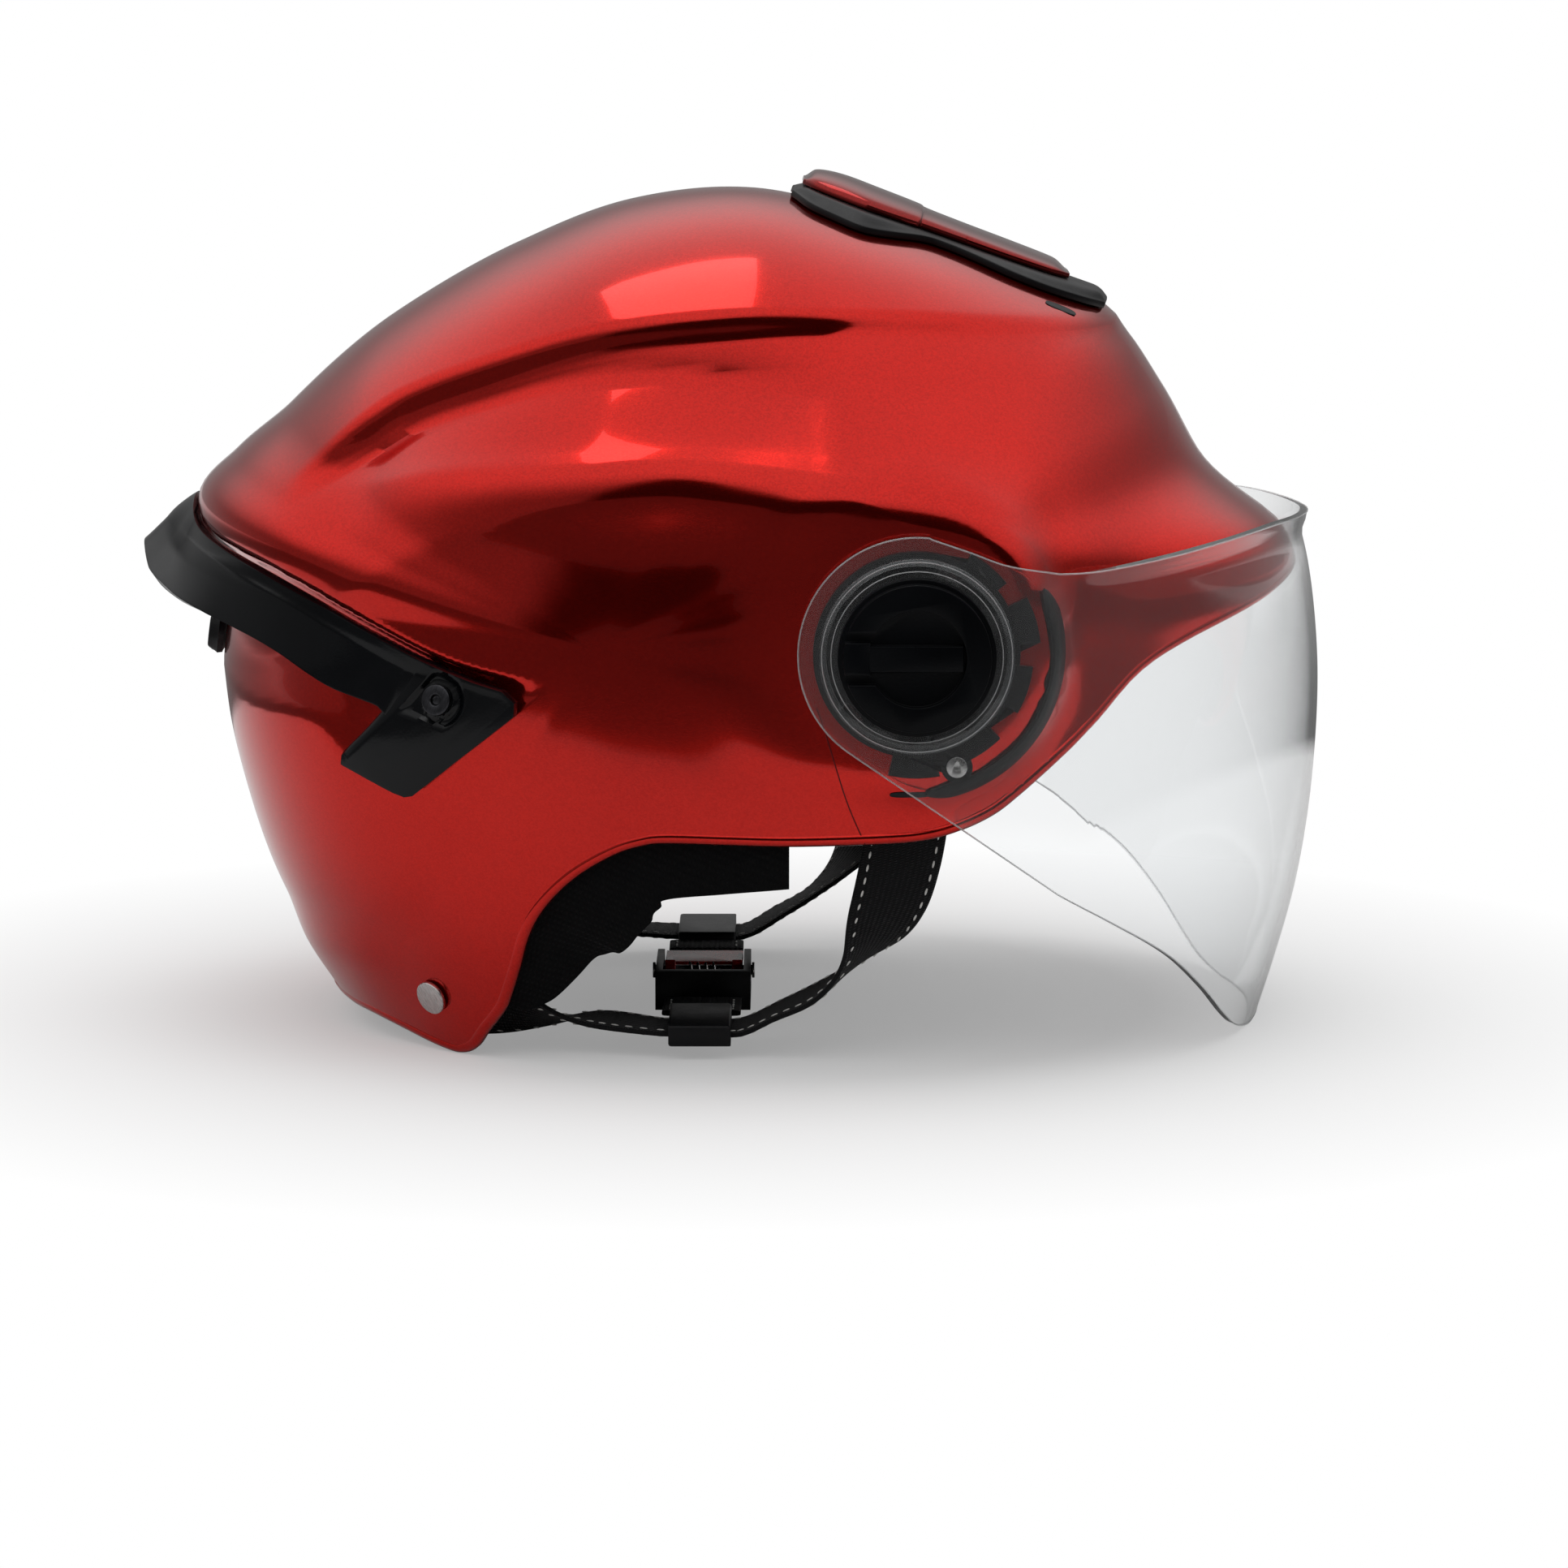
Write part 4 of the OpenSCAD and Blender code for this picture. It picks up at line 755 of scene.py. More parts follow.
def clearSheet(name, finish, roughness, clarity):
    s = sheetTone
    material, tree, shader = newMaterial(name, {
        "Base Color": finishes[finish], "Transmission Weight": clarity, "IOR": 1.45})
    handledGloss(tree, shader, objectCoords(tree), s["smears"], roughness, s["spread"])
    path = addNode(tree, "ShaderNodeLightPath")
    shadow = remap(tree, path.outputs["Is Shadow Ray"], 0, 1, 1.0, s["shadow"])
    tree.links.new(shadow, shader.inputs["Alpha"])    # a clear sheet casts only a faint shadow
    return material


liningWeave = {"turn": (0.6, 0.35, 0.2), "threads": 3200.0, "slant": 0.4, "fuzz": 260.0,
               "lighter": 2.6, "bump": (0.25 * mm, 0.7)}


def liningCloth():
    s, colour = liningWeave, finishes["cloth"]
    material, tree, shader = newMaterial("liningCloth", {
        "Sheen Weight": 0.05, "Sheen Roughness": 0.5, "Specular IOR Level": 0.1})
    vector = objectCoords(tree, turn=s["turn"])
    weave = placeGroup(tree, weaveGroup, vector, {"Threads": s["threads"], "Slant": s["slant"]})
    fuzz = addTexture(tree, "Noise", vector, Scale=s["fuzz"], Detail=4.0).outputs[0]
    # lighter on the raised threads, darker between them: painted shade of the weave, times a random
    # fuzz
    tone = math2(tree, "MULTIPLY", weave["Tone"], fuzz)
    colourBy(tree, shader, tone, colour, toned(colour, s["lighter"]))
    roughnessBy(tree, shader, fuzz, 0.3, 0.7, 0.8, 0.97)
    bumpInto(tree, shader, weave["Height"], *s["bump"])
    return material


# webbing follows the strap: its map is in metres along and across
strapWeave = {"threads": 4200.0, "slant": 1.0, "lighter": 3.0, "bump": (0.3 * mm, 0.8)}


def webbingCloth():
    s, colour = strapWeave, finishes["webbing"]
    material, tree, shader = newMaterial("webbing", {
        "Sheen Weight": 0.08, "Sheen Roughness": 0.4, "Specular IOR Level": 0.15})
    source = addNode(tree, "ShaderNodeUVMap", uv_map="strapMap")
    weave = placeGroup(tree, weaveGroup, source.outputs[0],
                       {"Threads": s["threads"], "Slant": s["slant"]})
    # lighter on the raised threads, darker between them: painted shade of the weave
    colourBy(tree, shader, weave["Tone"], colour, toned(colour, s["lighter"]))
    roughnessBy(tree, shader, weave["Tone"], 0, 1, 0.85, 0.6)
    bumpInto(tree, shader, weave["Height"], *s["bump"])
    return material


foamCells = {"beads": 320.0, "darker": 0.5, "bump": (0.8 * mm, 0.8)}


def beadFoam():
    s, colour = foamCells, finishes["foam"]
    material, tree, shader = newMaterial("beadFoam", {"Specular IOR Level": 0.3})
    beads = addTexture(tree, "Voronoi", objectCoords(tree), Scale=s["beads"], feature="SMOOTH_F1")
    away = beads.outputs["Distance"]
    # darker where the beads meet: painted shade in the crevices between them
    colourBy(tree, shader, remap(tree, away, 0.1, 0.6, 0, 1), colour, toned(colour, s["darker"]))
    roughnessBy(tree, shader, away, 0, 0.6, 0.6, 0.9)
    bumpInto(tree, shader, math2(tree, "MULTIPLY", away, -1.0), *s["bump"])
    return material


brushedSteel = {"stretch": (1, 14, 1), "lines": 420.0, "darker": 0.7, "smears": 60.0,
                "spread": 0.18, "bump": (0.02 * mm, 0.4)}


def steel(name, colour, roughness):
    s = brushedSteel
    material, tree, shader = newMaterial(name, {"Metallic": 1.0})
    vector = objectCoords(tree, scale=s["stretch"])
    lines = addTexture(tree, "Noise", vector, Scale=s["lines"], Detail=3.0).outputs[0]
    tone = remap(tree, lines, 0.35, 0.65, 0, 1)
    colourBy(tree, shader, tone, colour, toned(colour, s["darker"]))
    handledGloss(tree, shader, vector, s["smears"], roughness, s["spread"])
    bumpInto(tree, shader, lines, *s["bump"])
    return material


threadTwist = {"twists": 1400.0, "darker": 0.75}


def sewingThread():
    s, colour = threadTwist, finishes["thread"]
    material, tree, shader = newMaterial("sewingThread", {"Sheen Weight": 0.2})
    twist = addTexture(tree, "Wave", objectCoords(tree), Scale=s["twists"],
                       bands_direction="DIAGONAL").outputs["Fac"]
    # darker along the twist's bands: painted shade in the grooves of the twist
    colourBy(tree, shader, twist, toned(colour, s["darker"]), colour)
    roughnessBy(tree, shader, twist, 0, 1, 0.8, 0.6)
    return material


redPaint = candyRed("candyRed", finishes["redDeep"], finishes["redBright"])
coverRed = candyRed("coverRed", finishes["coverDeep"], finishes["coverBright"])
capBlack, glossBlack, satinBlack, leverRed, seamDark = (
    moulded(name, *values) for name, values in mouldings.items())
visorClear, collarClear, edgeClear = (
    clearSheet(name, *values) for name, values in clearSheets.items())
lining, webbing, foamBeads, thread = liningCloth(), webbingCloth(), beadFoam(), sewingThread()
brightSteel = steel("brightSteel", finishes["steel"], 0.22)
darkSteel = steel("darkSteel", finishes["darkSteel"], 0.3)
print("materials ready")


# shell: a round body shaped over the dome, given its wall, then cut along the lower edge

# the turn at which each angle's row reaches a line on the side, by halving
def lineTurn(line, angle):
    low, high = np.zeros_like(angle), np.full_like(angle, 90.0)
    halvings = 16
    for step in range(halvings):
        turn = (low + high) / 2
        p = domePoint(angle, turn)
        over = p[:, 2] > heightOn(line, p[:, 0])
        high, low = np.where(over, turn, high), np.where(over, low, turn)
    return (low + high) / 2


# rows are drawn to the ridge and the crest, where they run over the dome
def shellTurns(angle, share):
    s = shellForm
    drawn = between(s["drawnFrom"], s["drawnTo"], angle)
    ridge = lineTurn(s["ridgeLine"], angle)
    crest = np.clip(lineTurn(s["crestLine"], angle), ridge + s["crestOverRidge"], s["crestMost"])
    below, above = s["crestBand"]
    knots = s["rowKnots"]
    marks = [np.zeros_like(angle), ridge, crest - below, crest + above, np.full_like(angle, 90.0)]
    marks = [mix(90 * k, m, drawn) for k, m in zip(knots, marks)]
    turn = np.zeros_like(angle)
    for k in range(len(knots) - 1):
        part = (share - knots[k]) / (knots[k + 1] - knots[k])
        inside = (share >= knots[k]) & (share <= knots[k + 1])
        turn = np.where(inside, mix(marks[k], marks[k + 1], part), turn)
    return turn


def shellPlace(u, v):
    split, reach = shellForm["topColumns"], shellForm["topAngle"]
    rest = (u - split) / (1 - split)
    angle = np.where(u < split, u / split * reach, reach + rest * (360 - reach))
    half = np.where(v <= 0.5, v * 2, 2 - v * 2)
    turn = shellTurns(np.clip(angle, 0, 359.999), half)
    return shellPoint(angle, np.where(v <= 0.5, turn, 180 - turn))


def insetEdge(inset):
    edge = shellForm["edge"]
    path = smoothRoute(edge, np.linspace(0, len(edge) - 1, 4 * len(edge)))
    step = np.gradient(path, axis=0)
    away = np.stack([-step[:, 1], step[:, 0]], 1)
    return path + unitRows(away) * inset


def cutAway(piece, outlineXz, reach=0.3):
    points = [(x * mm, -reach, z * mm) for x, z in outlineXz]
    cutter = bpy.data.meshes.new("edgeCutter")
    cutter.from_pydata(points, [], [list(range(len(points)))])
    tool = addObject("edgeCutter", cutter)
    applyModifier(tool, "SOLIDIFY", thickness=2 * reach, offset=0.0)
    places = coords(tool)
    places[:, 1] -= places[:, 1].mean()
    setCoords(tool, places)
    closeUp(tool)
    cutWith(piece, tool)


def cutWith(piece, tool):
    applyModifier(piece, "BOOLEAN", object=tool, operation="DIFFERENCE", solver="EXACT")
    bpy.data.objects.remove(tool)


def buildShell():
    s = shellForm
    body = shapedGrid("helmetShell", s["columns"], s["rows"], shellPlace)
    closeUp(body, 2 * weldGap)
    for material in (redPaint, satinBlack):
        body.data.materials.append(material)
    applyModifier(body, "SOLIDIFY", thickness=s["wall"] * mm, offset=-1.0, material_offset=1)
    edge = insetEdge(s["beadR"])
    rim = shellAt(edge[:, 0], edge[:, 1])
    far, low = 320, -220    # well outside the dome
    rimLine = [(-far, rim[0, 2])] + [(p[0], p[2]) for p in rim] + [(far, rim[-1, 2])]
    cutAway(body, rimLine + [(far, low), (-far, low)])
    middle = shellAt(edge[:, 0], edge[:, 1], -s["wall"] / 2)
    mirrored = middle * [1, -1, 1]
    loop = np.concatenate([middle, mirrored[::-1]])
    bead = beadAlong("rolledEdge", loop, s["beadR"], closed=True, sides=4)
    places = coords(bead)
    places[:, 2] = np.maximum(places[:, 2], 0)
    setCoords(bead, places)
    bead.data.materials.append(redPaint)
    piece = joinAll([body, bead], "helmetShell")
    smooth(piece, 40)
    sides = [face.material_index for face in piece.data.polygons]
    settle(piece, "helmet", "candy_red", redPaint, "outer_shell")
    piece.data.materials.append(satinBlack)    # the shell's inner face
    for face, side in zip(piece.data.polygons, sides):
        face.material_index = min(side, 1)
    return piece


helmetShell = buildShell()
print("shell shaped:", len(helmetShell.data.polygons), "faces")


# visor: flat round ears that bend into the wrap, with a lip along the top
visorForm = {
    "wall": 2.0,
    "earR": 31.5,
    "front": 167.2,
    "edgeInset": 16.0,
    "wrapShare": 0.52,
    "lipOut": 3.0,
    "lipFrom": (0.952, 1.0),
    "lipTurn": (0, 30),
    "bendX": 88.0,
    "power": 1.75,
    "outerY": 116.6,
    "kink": 3.0,
    "kinkX": 95.7,
    "kinkRound": 3.0,
    "kinkLength": 12.0,
    "edgeFall": 0.684,
    "shoulderZ": 135.8,
    "shoulder": (74, 138),
    "earTop": [(4, -0.6), (14, -4)],
    "holeR": 23.96,
    "edge": 0.22,
    "edgePoints": 399,
    "columns": 220,
    "rows": 60,
    "profile": [
        (-5, -18), (15, -11.5), (35, -6), (55, -2.5), (75, -0.6), (95, 0), (112, -1), (128, -3.2),
        (142, -6.6)],
    "lowEdge": [
        (0, 0), (12, -8.2), (27, -19.5), (38, -31), (46, -40.5), (52, -46.4), (58, -49.6),
        (66, -50.8)],
    "topEdge": [(0, 0), (8.5, 0.4), (22, 2.6), (40, 5.8), (52, 7.4), (60, 7.2), (66, 6.6)],
}


def earHalf(x):
    return np.sqrt(np.maximum(0, visorForm["earR"] ** 2 - (x - pivotX) ** 2))


def earLow(x):
    f = visorForm
    lean = math.atan(f["edgeFall"])
    tangentX = pivotX - f["earR"] * math.sin(lean)
    tangentZ = pivotZ - f["earR"] * math.cos(lean)
    return np.where(x < tangentX, pivotZ - earHalf(x), tangentZ - f["edgeFall"] * (x - tangentX))


def earTop(x):
    f = visorForm
    line = [(pivotX + dx, pivotZ + f["earR"] + dz) for dx, dz in f["earTop"]]
    line += [f["shoulder"], (f["bendX"], f["shoulderZ"])]
    return np.where(x < line[0][0], pivotZ + earHalf(x), heightOn(line, x))


def visorPlace(u, v):
    f = visorForm
    side = np.abs(2 * u - 1)
    ear = np.clip((side - f["wrapShare"]) / (1 - f["wrapShare"]), 0, 1)
    turn = 90 * np.clip(1 - side / f["wrapShare"], 0, 1)
    straight = f["bendX"] + (pivotX - f["bendX"]) * np.minimum(1, ear * 2)
    rounded = pivotX - f["earR"] * np.sin(np.radians(90 * np.clip(ear * 2 - 1, 0, 1)))
    base = np.where(ear <= 0.5, straight, rounded)
    wrap = np.sin(np.radians(turn)) ** (2 / f["power"])
    across = np.abs(np.cos(np.radians(turn))) ** (2 / f["power"])
    across = np.where(turn >= 89.999, 0, across)
    forward = wrap * (f["front"] - f["edgeInset"] - f["bendX"])
    wrapLow = earLow(np.array(f["bendX"])) + heightOn(f["lowEdge"], forward)
    wrapTop = f["shoulderZ"] + heightOn(f["topEdge"], forward)
    low, top = np.where(turn > 0, wrapLow, earLow(base)), np.where(turn > 0, wrapTop, earTop(base))
    z = np.maximum(mix(low, top, v), 0)
    lip = f["lipOut"] * ease(*f["lipFrom"], v) * ease(*f["lipTurn"], turn)
    x = base + wrap * (f["front"] + heightOn(f["profile"], z) - f["bendX"] + lip)
    past = x - f["kinkX"]
    beyond = (past + np.hypot(past, f["kinkRound"])) / 2
    kink = f["kink"] * (1 - np.exp(-beyond / f["kinkLength"]))
    y = (f["outerY"] + lip - kink) * across
    return np.stack([x, np.sign(2 * u - 1) * y, z], 1)


# faces at one end of the piece should look away from its middle
def faceOutward(piece, end):
    outward = [face.normal.x for face in piece.data.polygons if face.center.x / end > 1]
    if np.mean(outward) * end < 0:
        piece.data.flip_normals()


def roundTool(radius, length=300):
    clearSelection()
    bpy.ops.mesh.primitive_cylinder_add(
        vertices=128, radius=radius * mm, depth=length * mm,
        location=(pivotX * mm, 0, pivotZ * mm), rotation=(math.pi / 2, 0, 0))
    return bpy.context.object


def buildVisor():
    f = visorForm
    piece = shapedGrid("clearVisor", f["columns"], f["rows"], visorPlace)
    closeUp(piece, 2 * weldGap)
    faceOutward(piece, 0.15)
    applyModifier(piece, "SOLIDIFY", thickness=f["wall"] * mm, offset=-1.0)
    cutWith(piece, roundTool(f["holeR"]))
    smooth(piece, 40)
    along = np.linspace(0, 1, f["edgePoints"] + 1)[:-1]
    border = np.vstack([visorPlace(along, along * 0), visorPlace(1 - along, along * 0 + 1)])
    border[:, 2] = np.maximum(border[:, 2], f["edge"])
    bead = beadAlong("visorEdge", border, f["edge"], closed=True)
    settle(bead, "visor", "clear_sheet", edgeClear)
    settle(piece, "visor", "clear_sheet", visorClear, "visor")


buildVisor()
print("visor shaped")


# pivots: plate, clear collar and cap, modelled for the right and copied for the left
pivotForm = {
    # the arc below is a dark strip of painted shade along the platform's step
    "shadeArcR": 37.4,
    "shadeArcHalf": 1.9,
    "shadeArcFrom": 27,
    "shadeArcTo": -86,
    "shadeArcEnds": 12.0,
    "shadeArcCrown": 0.35,
    "shadeArcOut": 0.12,
    "shadeArcThick": 1.2,
    "ringR": (25.3, 22.8),
    "ringY": 119.4,
    "ring": 0.14,
    "pieces": {
        "pivot_plate": ("pivotPlate", 0.35, satinBlack, "satin_black", "helmet", "helmet"),
        "visor_collar": ("visorCollar", 0.8, collarClear, "clear_sheet", "visor", "visor"),
        "pivot_cap": ("pivotCap", 0.9, capBlack, "gloss_black", "cap_right", "cap_left"),
    },
}


# a dark strip painted as the shade at the platform's step, moved until it lies where it should in
# the side view
def stepShadeArc():
    f = pivotForm

    def place(u, v):
        angle = np.radians(mix(f["shadeArcFrom"], f["shadeArcTo"], u))
        across = 2 * v - 1
        taper = np.minimum(1, f["shadeArcEnds"] * np.minimum(u, 1 - u)) ** 0.5
        radius = f["shadeArcR"] + f["shadeArcHalf"] * across * taper
        crown = f["shadeArcCrown"] * (1 - across ** 2)
        goal = np.stack([pivotX + radius * np.cos(angle), pivotZ + radius * np.sin(angle)], 1)
        spot = goal.copy()
        for step in range(6):
            spot += goal - shellAt(spot[:, 0], spot[:, 1])[:, [0, 2]]
        return shellAt(spot[:, 0], spot[:, 1], f["shadeArcOut"] + crown)

    piece = shapedGrid("platformStepShade", 70, 6, place)
    applyModifier(piece, "SOLIDIFY", thickness=f["shadeArcThick"] * mm, offset=0.0)
    closeUp(piece)
    return piece


def buildPivots():
    for node, (name, bevel, material, slot, bodyRight, bodyLeft) in pivotForm["pieces"].items():
        right = roundedCopy(node + "_right", name + "Right", bevel, 3)
        # the plate is joined with the dark strip of painted shade at the platform's step
        if node == "pivot_plate":
            right = joinAll([right, stepShadeArc()], name + "Right")
            smooth(right, edgeRound["sharpFrom"])
        left = leftCopy(right, name + "Left")
        settle(right, bodyRight, slot, material, node + "_right")
        settle(left, bodyLeft, slot, material, node + "_left")


def buildCollarRings():
    f = pivotForm
    angle = np.linspace(0, 2 * np.pi, 97)[:-1]
    for number, radius in enumerate(f["ringR"]):
        x, z = pivotX + radius * np.cos(angle), pivotZ + radius * np.sin(angle)
        route = np.stack([x, angle * 0 - f["ringY"], z], 1)
        right = beadAlong("collarRing%dRight" % number, route, f["ring"], closed=True)
        for piece in (right, leftCopy(right, "collarRing%dLeft" % number)):
            settle(piece, "visor", "clear_sheet", edgeClear)


buildPivots()
buildCollarRings()
print("pivots shaped")


# wing round the back: two rails on the dome, the lower one standing off
wingForm = {
    "thick": 3.0,
    "gap": 0.8,
    "railGap": 2.5,
    "upper": [
        (-151.5, 143.5), (-149, 140.6), (-145.5, 137.8), (-134, 134), (-124.5, 130.7),
        (-110.5, 124.7), (-97, 118.2), (-90, 115), (-84.5, 112.5), (-80, 110.7), (-75, 108.7),
        (-66, 105.8), (-58.5, 103.8), (-55.2, 100.6), (-55.5, 97)],
    "lower": [
        (-147.3, 129.5, 21.523), (-144.5, 124, 19.8), (-141, 120.3, 15), (-135.6, 118.1, 10.5),
        (-129.9, 116, 7.5), (-119.2, 111.6, 5.1), (-105.1, 103.4, 3), (-92.7, 98.7, 1.4),
        (-90.5, 96.5, 1), (-91.2, 93.6, 0), (-102.3, 82.5, 0), (-94, 78.8, 0), (-88.2, 76.2, 0),
        (-85.6, 75.4, 0), (-83.2, 76, 0)],
    "screw": (-75.4, 100.2),
    "tuck": 1.3,
    "headR": 4.4,
    "headSeat": 6.25,
    "pocketR": 7.0,
    "pocketTip": (-12.5, -2.4),
    "pocket": 1.2,
    "pocketEdge": 0.8,
    "pocketReach": 14.0,
    "headEdge": 0.9,
    "bentTo": 7,
    "nose": 1.5,
    "seatUnder": 3.0,
    "seatAlong": (-8, 0, 8),
    "seatDown": (0, 6, 12),
    "bevel": 0.5,
    "columns": 560,
    "rows": 36,
}


# the wing's seat: the ledge without its folds
def wingSeat(x, z):
    f = wingForm
    low = np.minimum(z, heightOn(shellForm["ledgeLine"], x) - f["seatUnder"])
    near = [relief(x + dx, low - dz) for dx in f["seatAlong"] for dz in f["seatDown"]]
    return np.mean(near, axis=0)


def wingPlace(u, v):
    f = wingForm
    side = 2 * u - 1
    upperRail = np.array([f["upper"][1]] + f["upper"])
    lowerRail = np.array([f["lower"][1]] + f["lower"])
    t = np.abs(side) * (len(f["upper"]) - 1)

    def alongRail(rail, t):
        bent = (t < f["bentTo"])[:, None]
        return np.where(bent, smoothRoute(rail, t + 1), straightRoute(rail, t + 1))

    def spot(t):
        upper, lower = alongRail(upperRail, t), alongRail(lowerRail, t)
        x, z = mix(upper[:, 0], lower[:, 0], v), mix(upper[:, 1] + f["tuck"], lower[:, 1], v)
        return x, z, f["gap"] + f["railGap"] * (1 - v) + lower[:, 2] * v

    x, z, off = spot(t)
    farX, farZ = spot(np.maximum(t, f["nose"]))[:2]
    turn = mix(90, turnOf(farX, farZ), np.minimum(t / f["nose"], 1))
    bare = domePoint(sideAngle(x, z), turn)
    p = grown(bare, wingSeat(bare[:, 0], bare[:, 2]) + off)
    p[:, 1] = np.where(t < 0.01, 0, p[:, 1] * np.where(side < 0, -1, 1))
    return p


# a raised seat under each screw's head, in a pocket that runs out to a point
def sinkPocket(piece):
    f = wingForm
    seat, out = seatOn(f["screw"])
    tip = np.array([f["pocketTip"][0], 0, f["pocketTip"][1]])
    tip = tip - out * (tip @ out)
    length = np.linalg.norm(tip)
    outerFace = f["gap"] + f["thick"] * 0.75
    places = coords(piece) / mm
    for side in (1, -1):
        flip = np.array([1, side, 1])
        away = places * flip - seat
        high = away @ out
        flat = away - np.outer(high, out)
        radius = np.linalg.norm(flat, axis=1)
        share = np.clip(flat @ tip / length ** 2, 0, 1)
        fromLine = np.linalg.norm(flat - np.outer(share, tip), axis=1)
        inside = f["pocketR"] * (1 - share) - fromLine
        reached = (high > outerFace) & (high < f["pocketReach"]) & (inside > -1)
        sunk = high - f["pocket"] * ease(-f["pocketEdge"], f["pocketEdge"], inside)
        level = mix(f["headSeat"], sunk, ease(f["headR"], f["headR"] + f["headEdge"], radius))
        places += np.outer(np.where(reached, level - high, 0), out) * flip
    setCoords(piece, places * mm)


def buildWing():
    f = wingForm
    piece = shapedGrid("rearWing", f["columns"], f["rows"], wingPlace)
    closeUp(piece, 2 * weldGap)
    faceOutward(piece, -0.13)
    applyModifier(piece, "SOLIDIFY", thickness=f["thick"] * mm, offset=1.0)
    softenEdges(piece, f["bevel"], 60, 3)
    sinkPocket(piece)
    smooth(piece, 40)
    settle(piece, "helmet", "gloss_black", glossBlack, "rear_wing")


buildWing()
print("wing shaped")


# intake on the crest: a straight deck with a sliding cover
intakeForm = {
    "deckAngles": (64.0, 33.0),
    "height": 3.6,
    "crown": 1.6,
    "crownHalf": 36.0,
    "base": 0.6,
    "rimHeight": 1.8,
    "rimWidth": 6.0,
    "length": 80.0,
    "frameBevel": 0.6,
    "coverHeight": 4.2,
    "coverGap": 0.3,
    "coverRim": 1.4,
    "coverEnds": (0.08, 0.10),
    "coverBevel": 0.4,
    "plan": [
        (66, 16), (63.5, 28), (59.5, 34), (56, 36.5), (52.7, 33.5), (49.4, 28.5), (46.6, 29),
        (42, 32), (37.8, 33.5), (35.2, 32.5), (33, 28), (31.5, 21)],
    "cover": [
        (-3, 13, 0.35), (1, 19, 0.8), (8, 23, 1), (18, 25.5, 0.95), (30, 24, 0.85),
        (33, 22.5, 0.72), (45, 23, 0.62), (58, 23.5, 0.55), (70, 22, 0.45), (76, 17, 0.25)],
}


# a place on the shell by its angle and its distance from the plane of symmetry
def spinePoint(angle, y, lift):
    middle = np.abs(y) < 0.01
    p = shellPoint(angle, np.where(middle, 90, turnAtY(y)), lift)
    p[:, 1] = np.where(middle, 0, -np.abs(p[:, 1])) * np.where(y > 0, -1, 1)
    return p


deckAngles = np.array(intakeForm["deckAngles"])
deckBack, deckFront = spinePoint(deckAngles, 0 * deckAngles, intakeForm["height"])
deckDir = (deckFront - deckBack) / np.linalg.norm(deckFront - deckBack)
deckUp = np.array([-deckDir[2], 0, deckDir[0]])


def deckDrop(y):
    return intakeForm["crown"] * (y / intakeForm["crownHalf"]) ** 2


# how far a place is from the edge of its grid
def fromEdge(u, v, long, wide):
    return np.minimum(np.minimum(u, 1 - u) * long, np.minimum(v, 1 - v) * wide)


def closedPlate(name, columns, rows, upper, lower):
    top = shapedGrid(name, columns, rows, upper)
    under = shapedGrid(name + "Under", columns, rows, lower)
    piece = joinAll([top, under], name)
    pick(piece)
    bpy.ops.object.mode_set(mode="EDIT")
    bpy.ops.mesh.select_mode(type="EDGE")
    bpy.ops.mesh.select_all(action="DESELECT")
    bpy.ops.mesh.select_non_manifold(
        extend=False, use_wire=False, use_boundary=True, use_multi_face=False,
        use_non_contiguous=False, use_verts=False)
    bpy.ops.mesh.bridge_edge_loops()
    bpy.ops.object.mode_set(mode="OBJECT")
    closeUp(piece)
    return piece


def buildIntakeFrame():
    f = intakeForm
    last = len(f["plan"]) - 1

    def base(u, v):
        plan = smoothRoute(f["plan"], u * last)
        return plan, spinePoint(plan[:, 0], plan[:, 1] * (2 * v - 1), f["base"])

    def upper(u, v):
        plan, p = base(u, v)
        toDeck = -deckDrop(plan[:, 1] * (2 * v - 1)) - (p - deckBack) @ deckUp
        border = fromEdge(u, v, f["length"], 2 * plan[:, 1])
        rim = np.minimum(f["rimHeight"], toDeck)
        return p + np.outer(mix(rim, toDeck, ease(0, f["rimWidth"], border)), deckUp)

    piece = closedPlate("intakeFrame", 110, 60, upper, lambda u, v: base(u, v)[1])
    softenEdges(piece, f["frameBevel"], 50)
    smooth(piece, 40)
    settle(piece, "helmet", "satin_black", satinBlack, "intake_frame")


def buildIntakeCover():
    f = intakeForm
    last = len(f["cover"]) - 1

    def place(u, v, high):
        plan = smoothRoute(f["cover"], u * last)
        t = 2 * v - 1
        y = plan[:, 1] * t
        lift = f["coverGap"] + high(plan, t, u) - deckDrop(y)
        flat = deckBack + np.outer(plan[:, 0], deckDir) + np.outer(y, [0, 1, 0])
        return flat + np.outer(lift, deckUp)

    def crown(plan, t, u):
        back, front = f["coverEnds"]
        ends = ease(0, back, u) * ease(0, front, 1 - u)
        arch = np.sqrt(np.maximum(0, 1 - t * t))
        return f["coverRim"] + f["coverHeight"] * plan[:, 2] * arch * ends

    def level(plan, t, u):
        return 0 * u

    piece = closedPlate("intakeCover", 110, 50, lambda u, v: place(u, v, crown),
                        lambda u, v: place(u, v, level))
    softenEdges(piece, f["coverBevel"], 50)
    smooth(piece, 40)
    settle(piece, "cover", "candy_red", coverRed, "intake_cover")


buildIntakeFrame()
buildIntakeCover()
print("intake shaped")


# small outlet under the wing: its plan is angle and half width
exhaustForm = {
    "plan": [(180, 12), (182, 15), (184.5, 15), (186.5, 12)],
    "base": 0.6,
    "rim": 2.2,
    "rise": 2.8,
    "slopes": (4, 12),
}


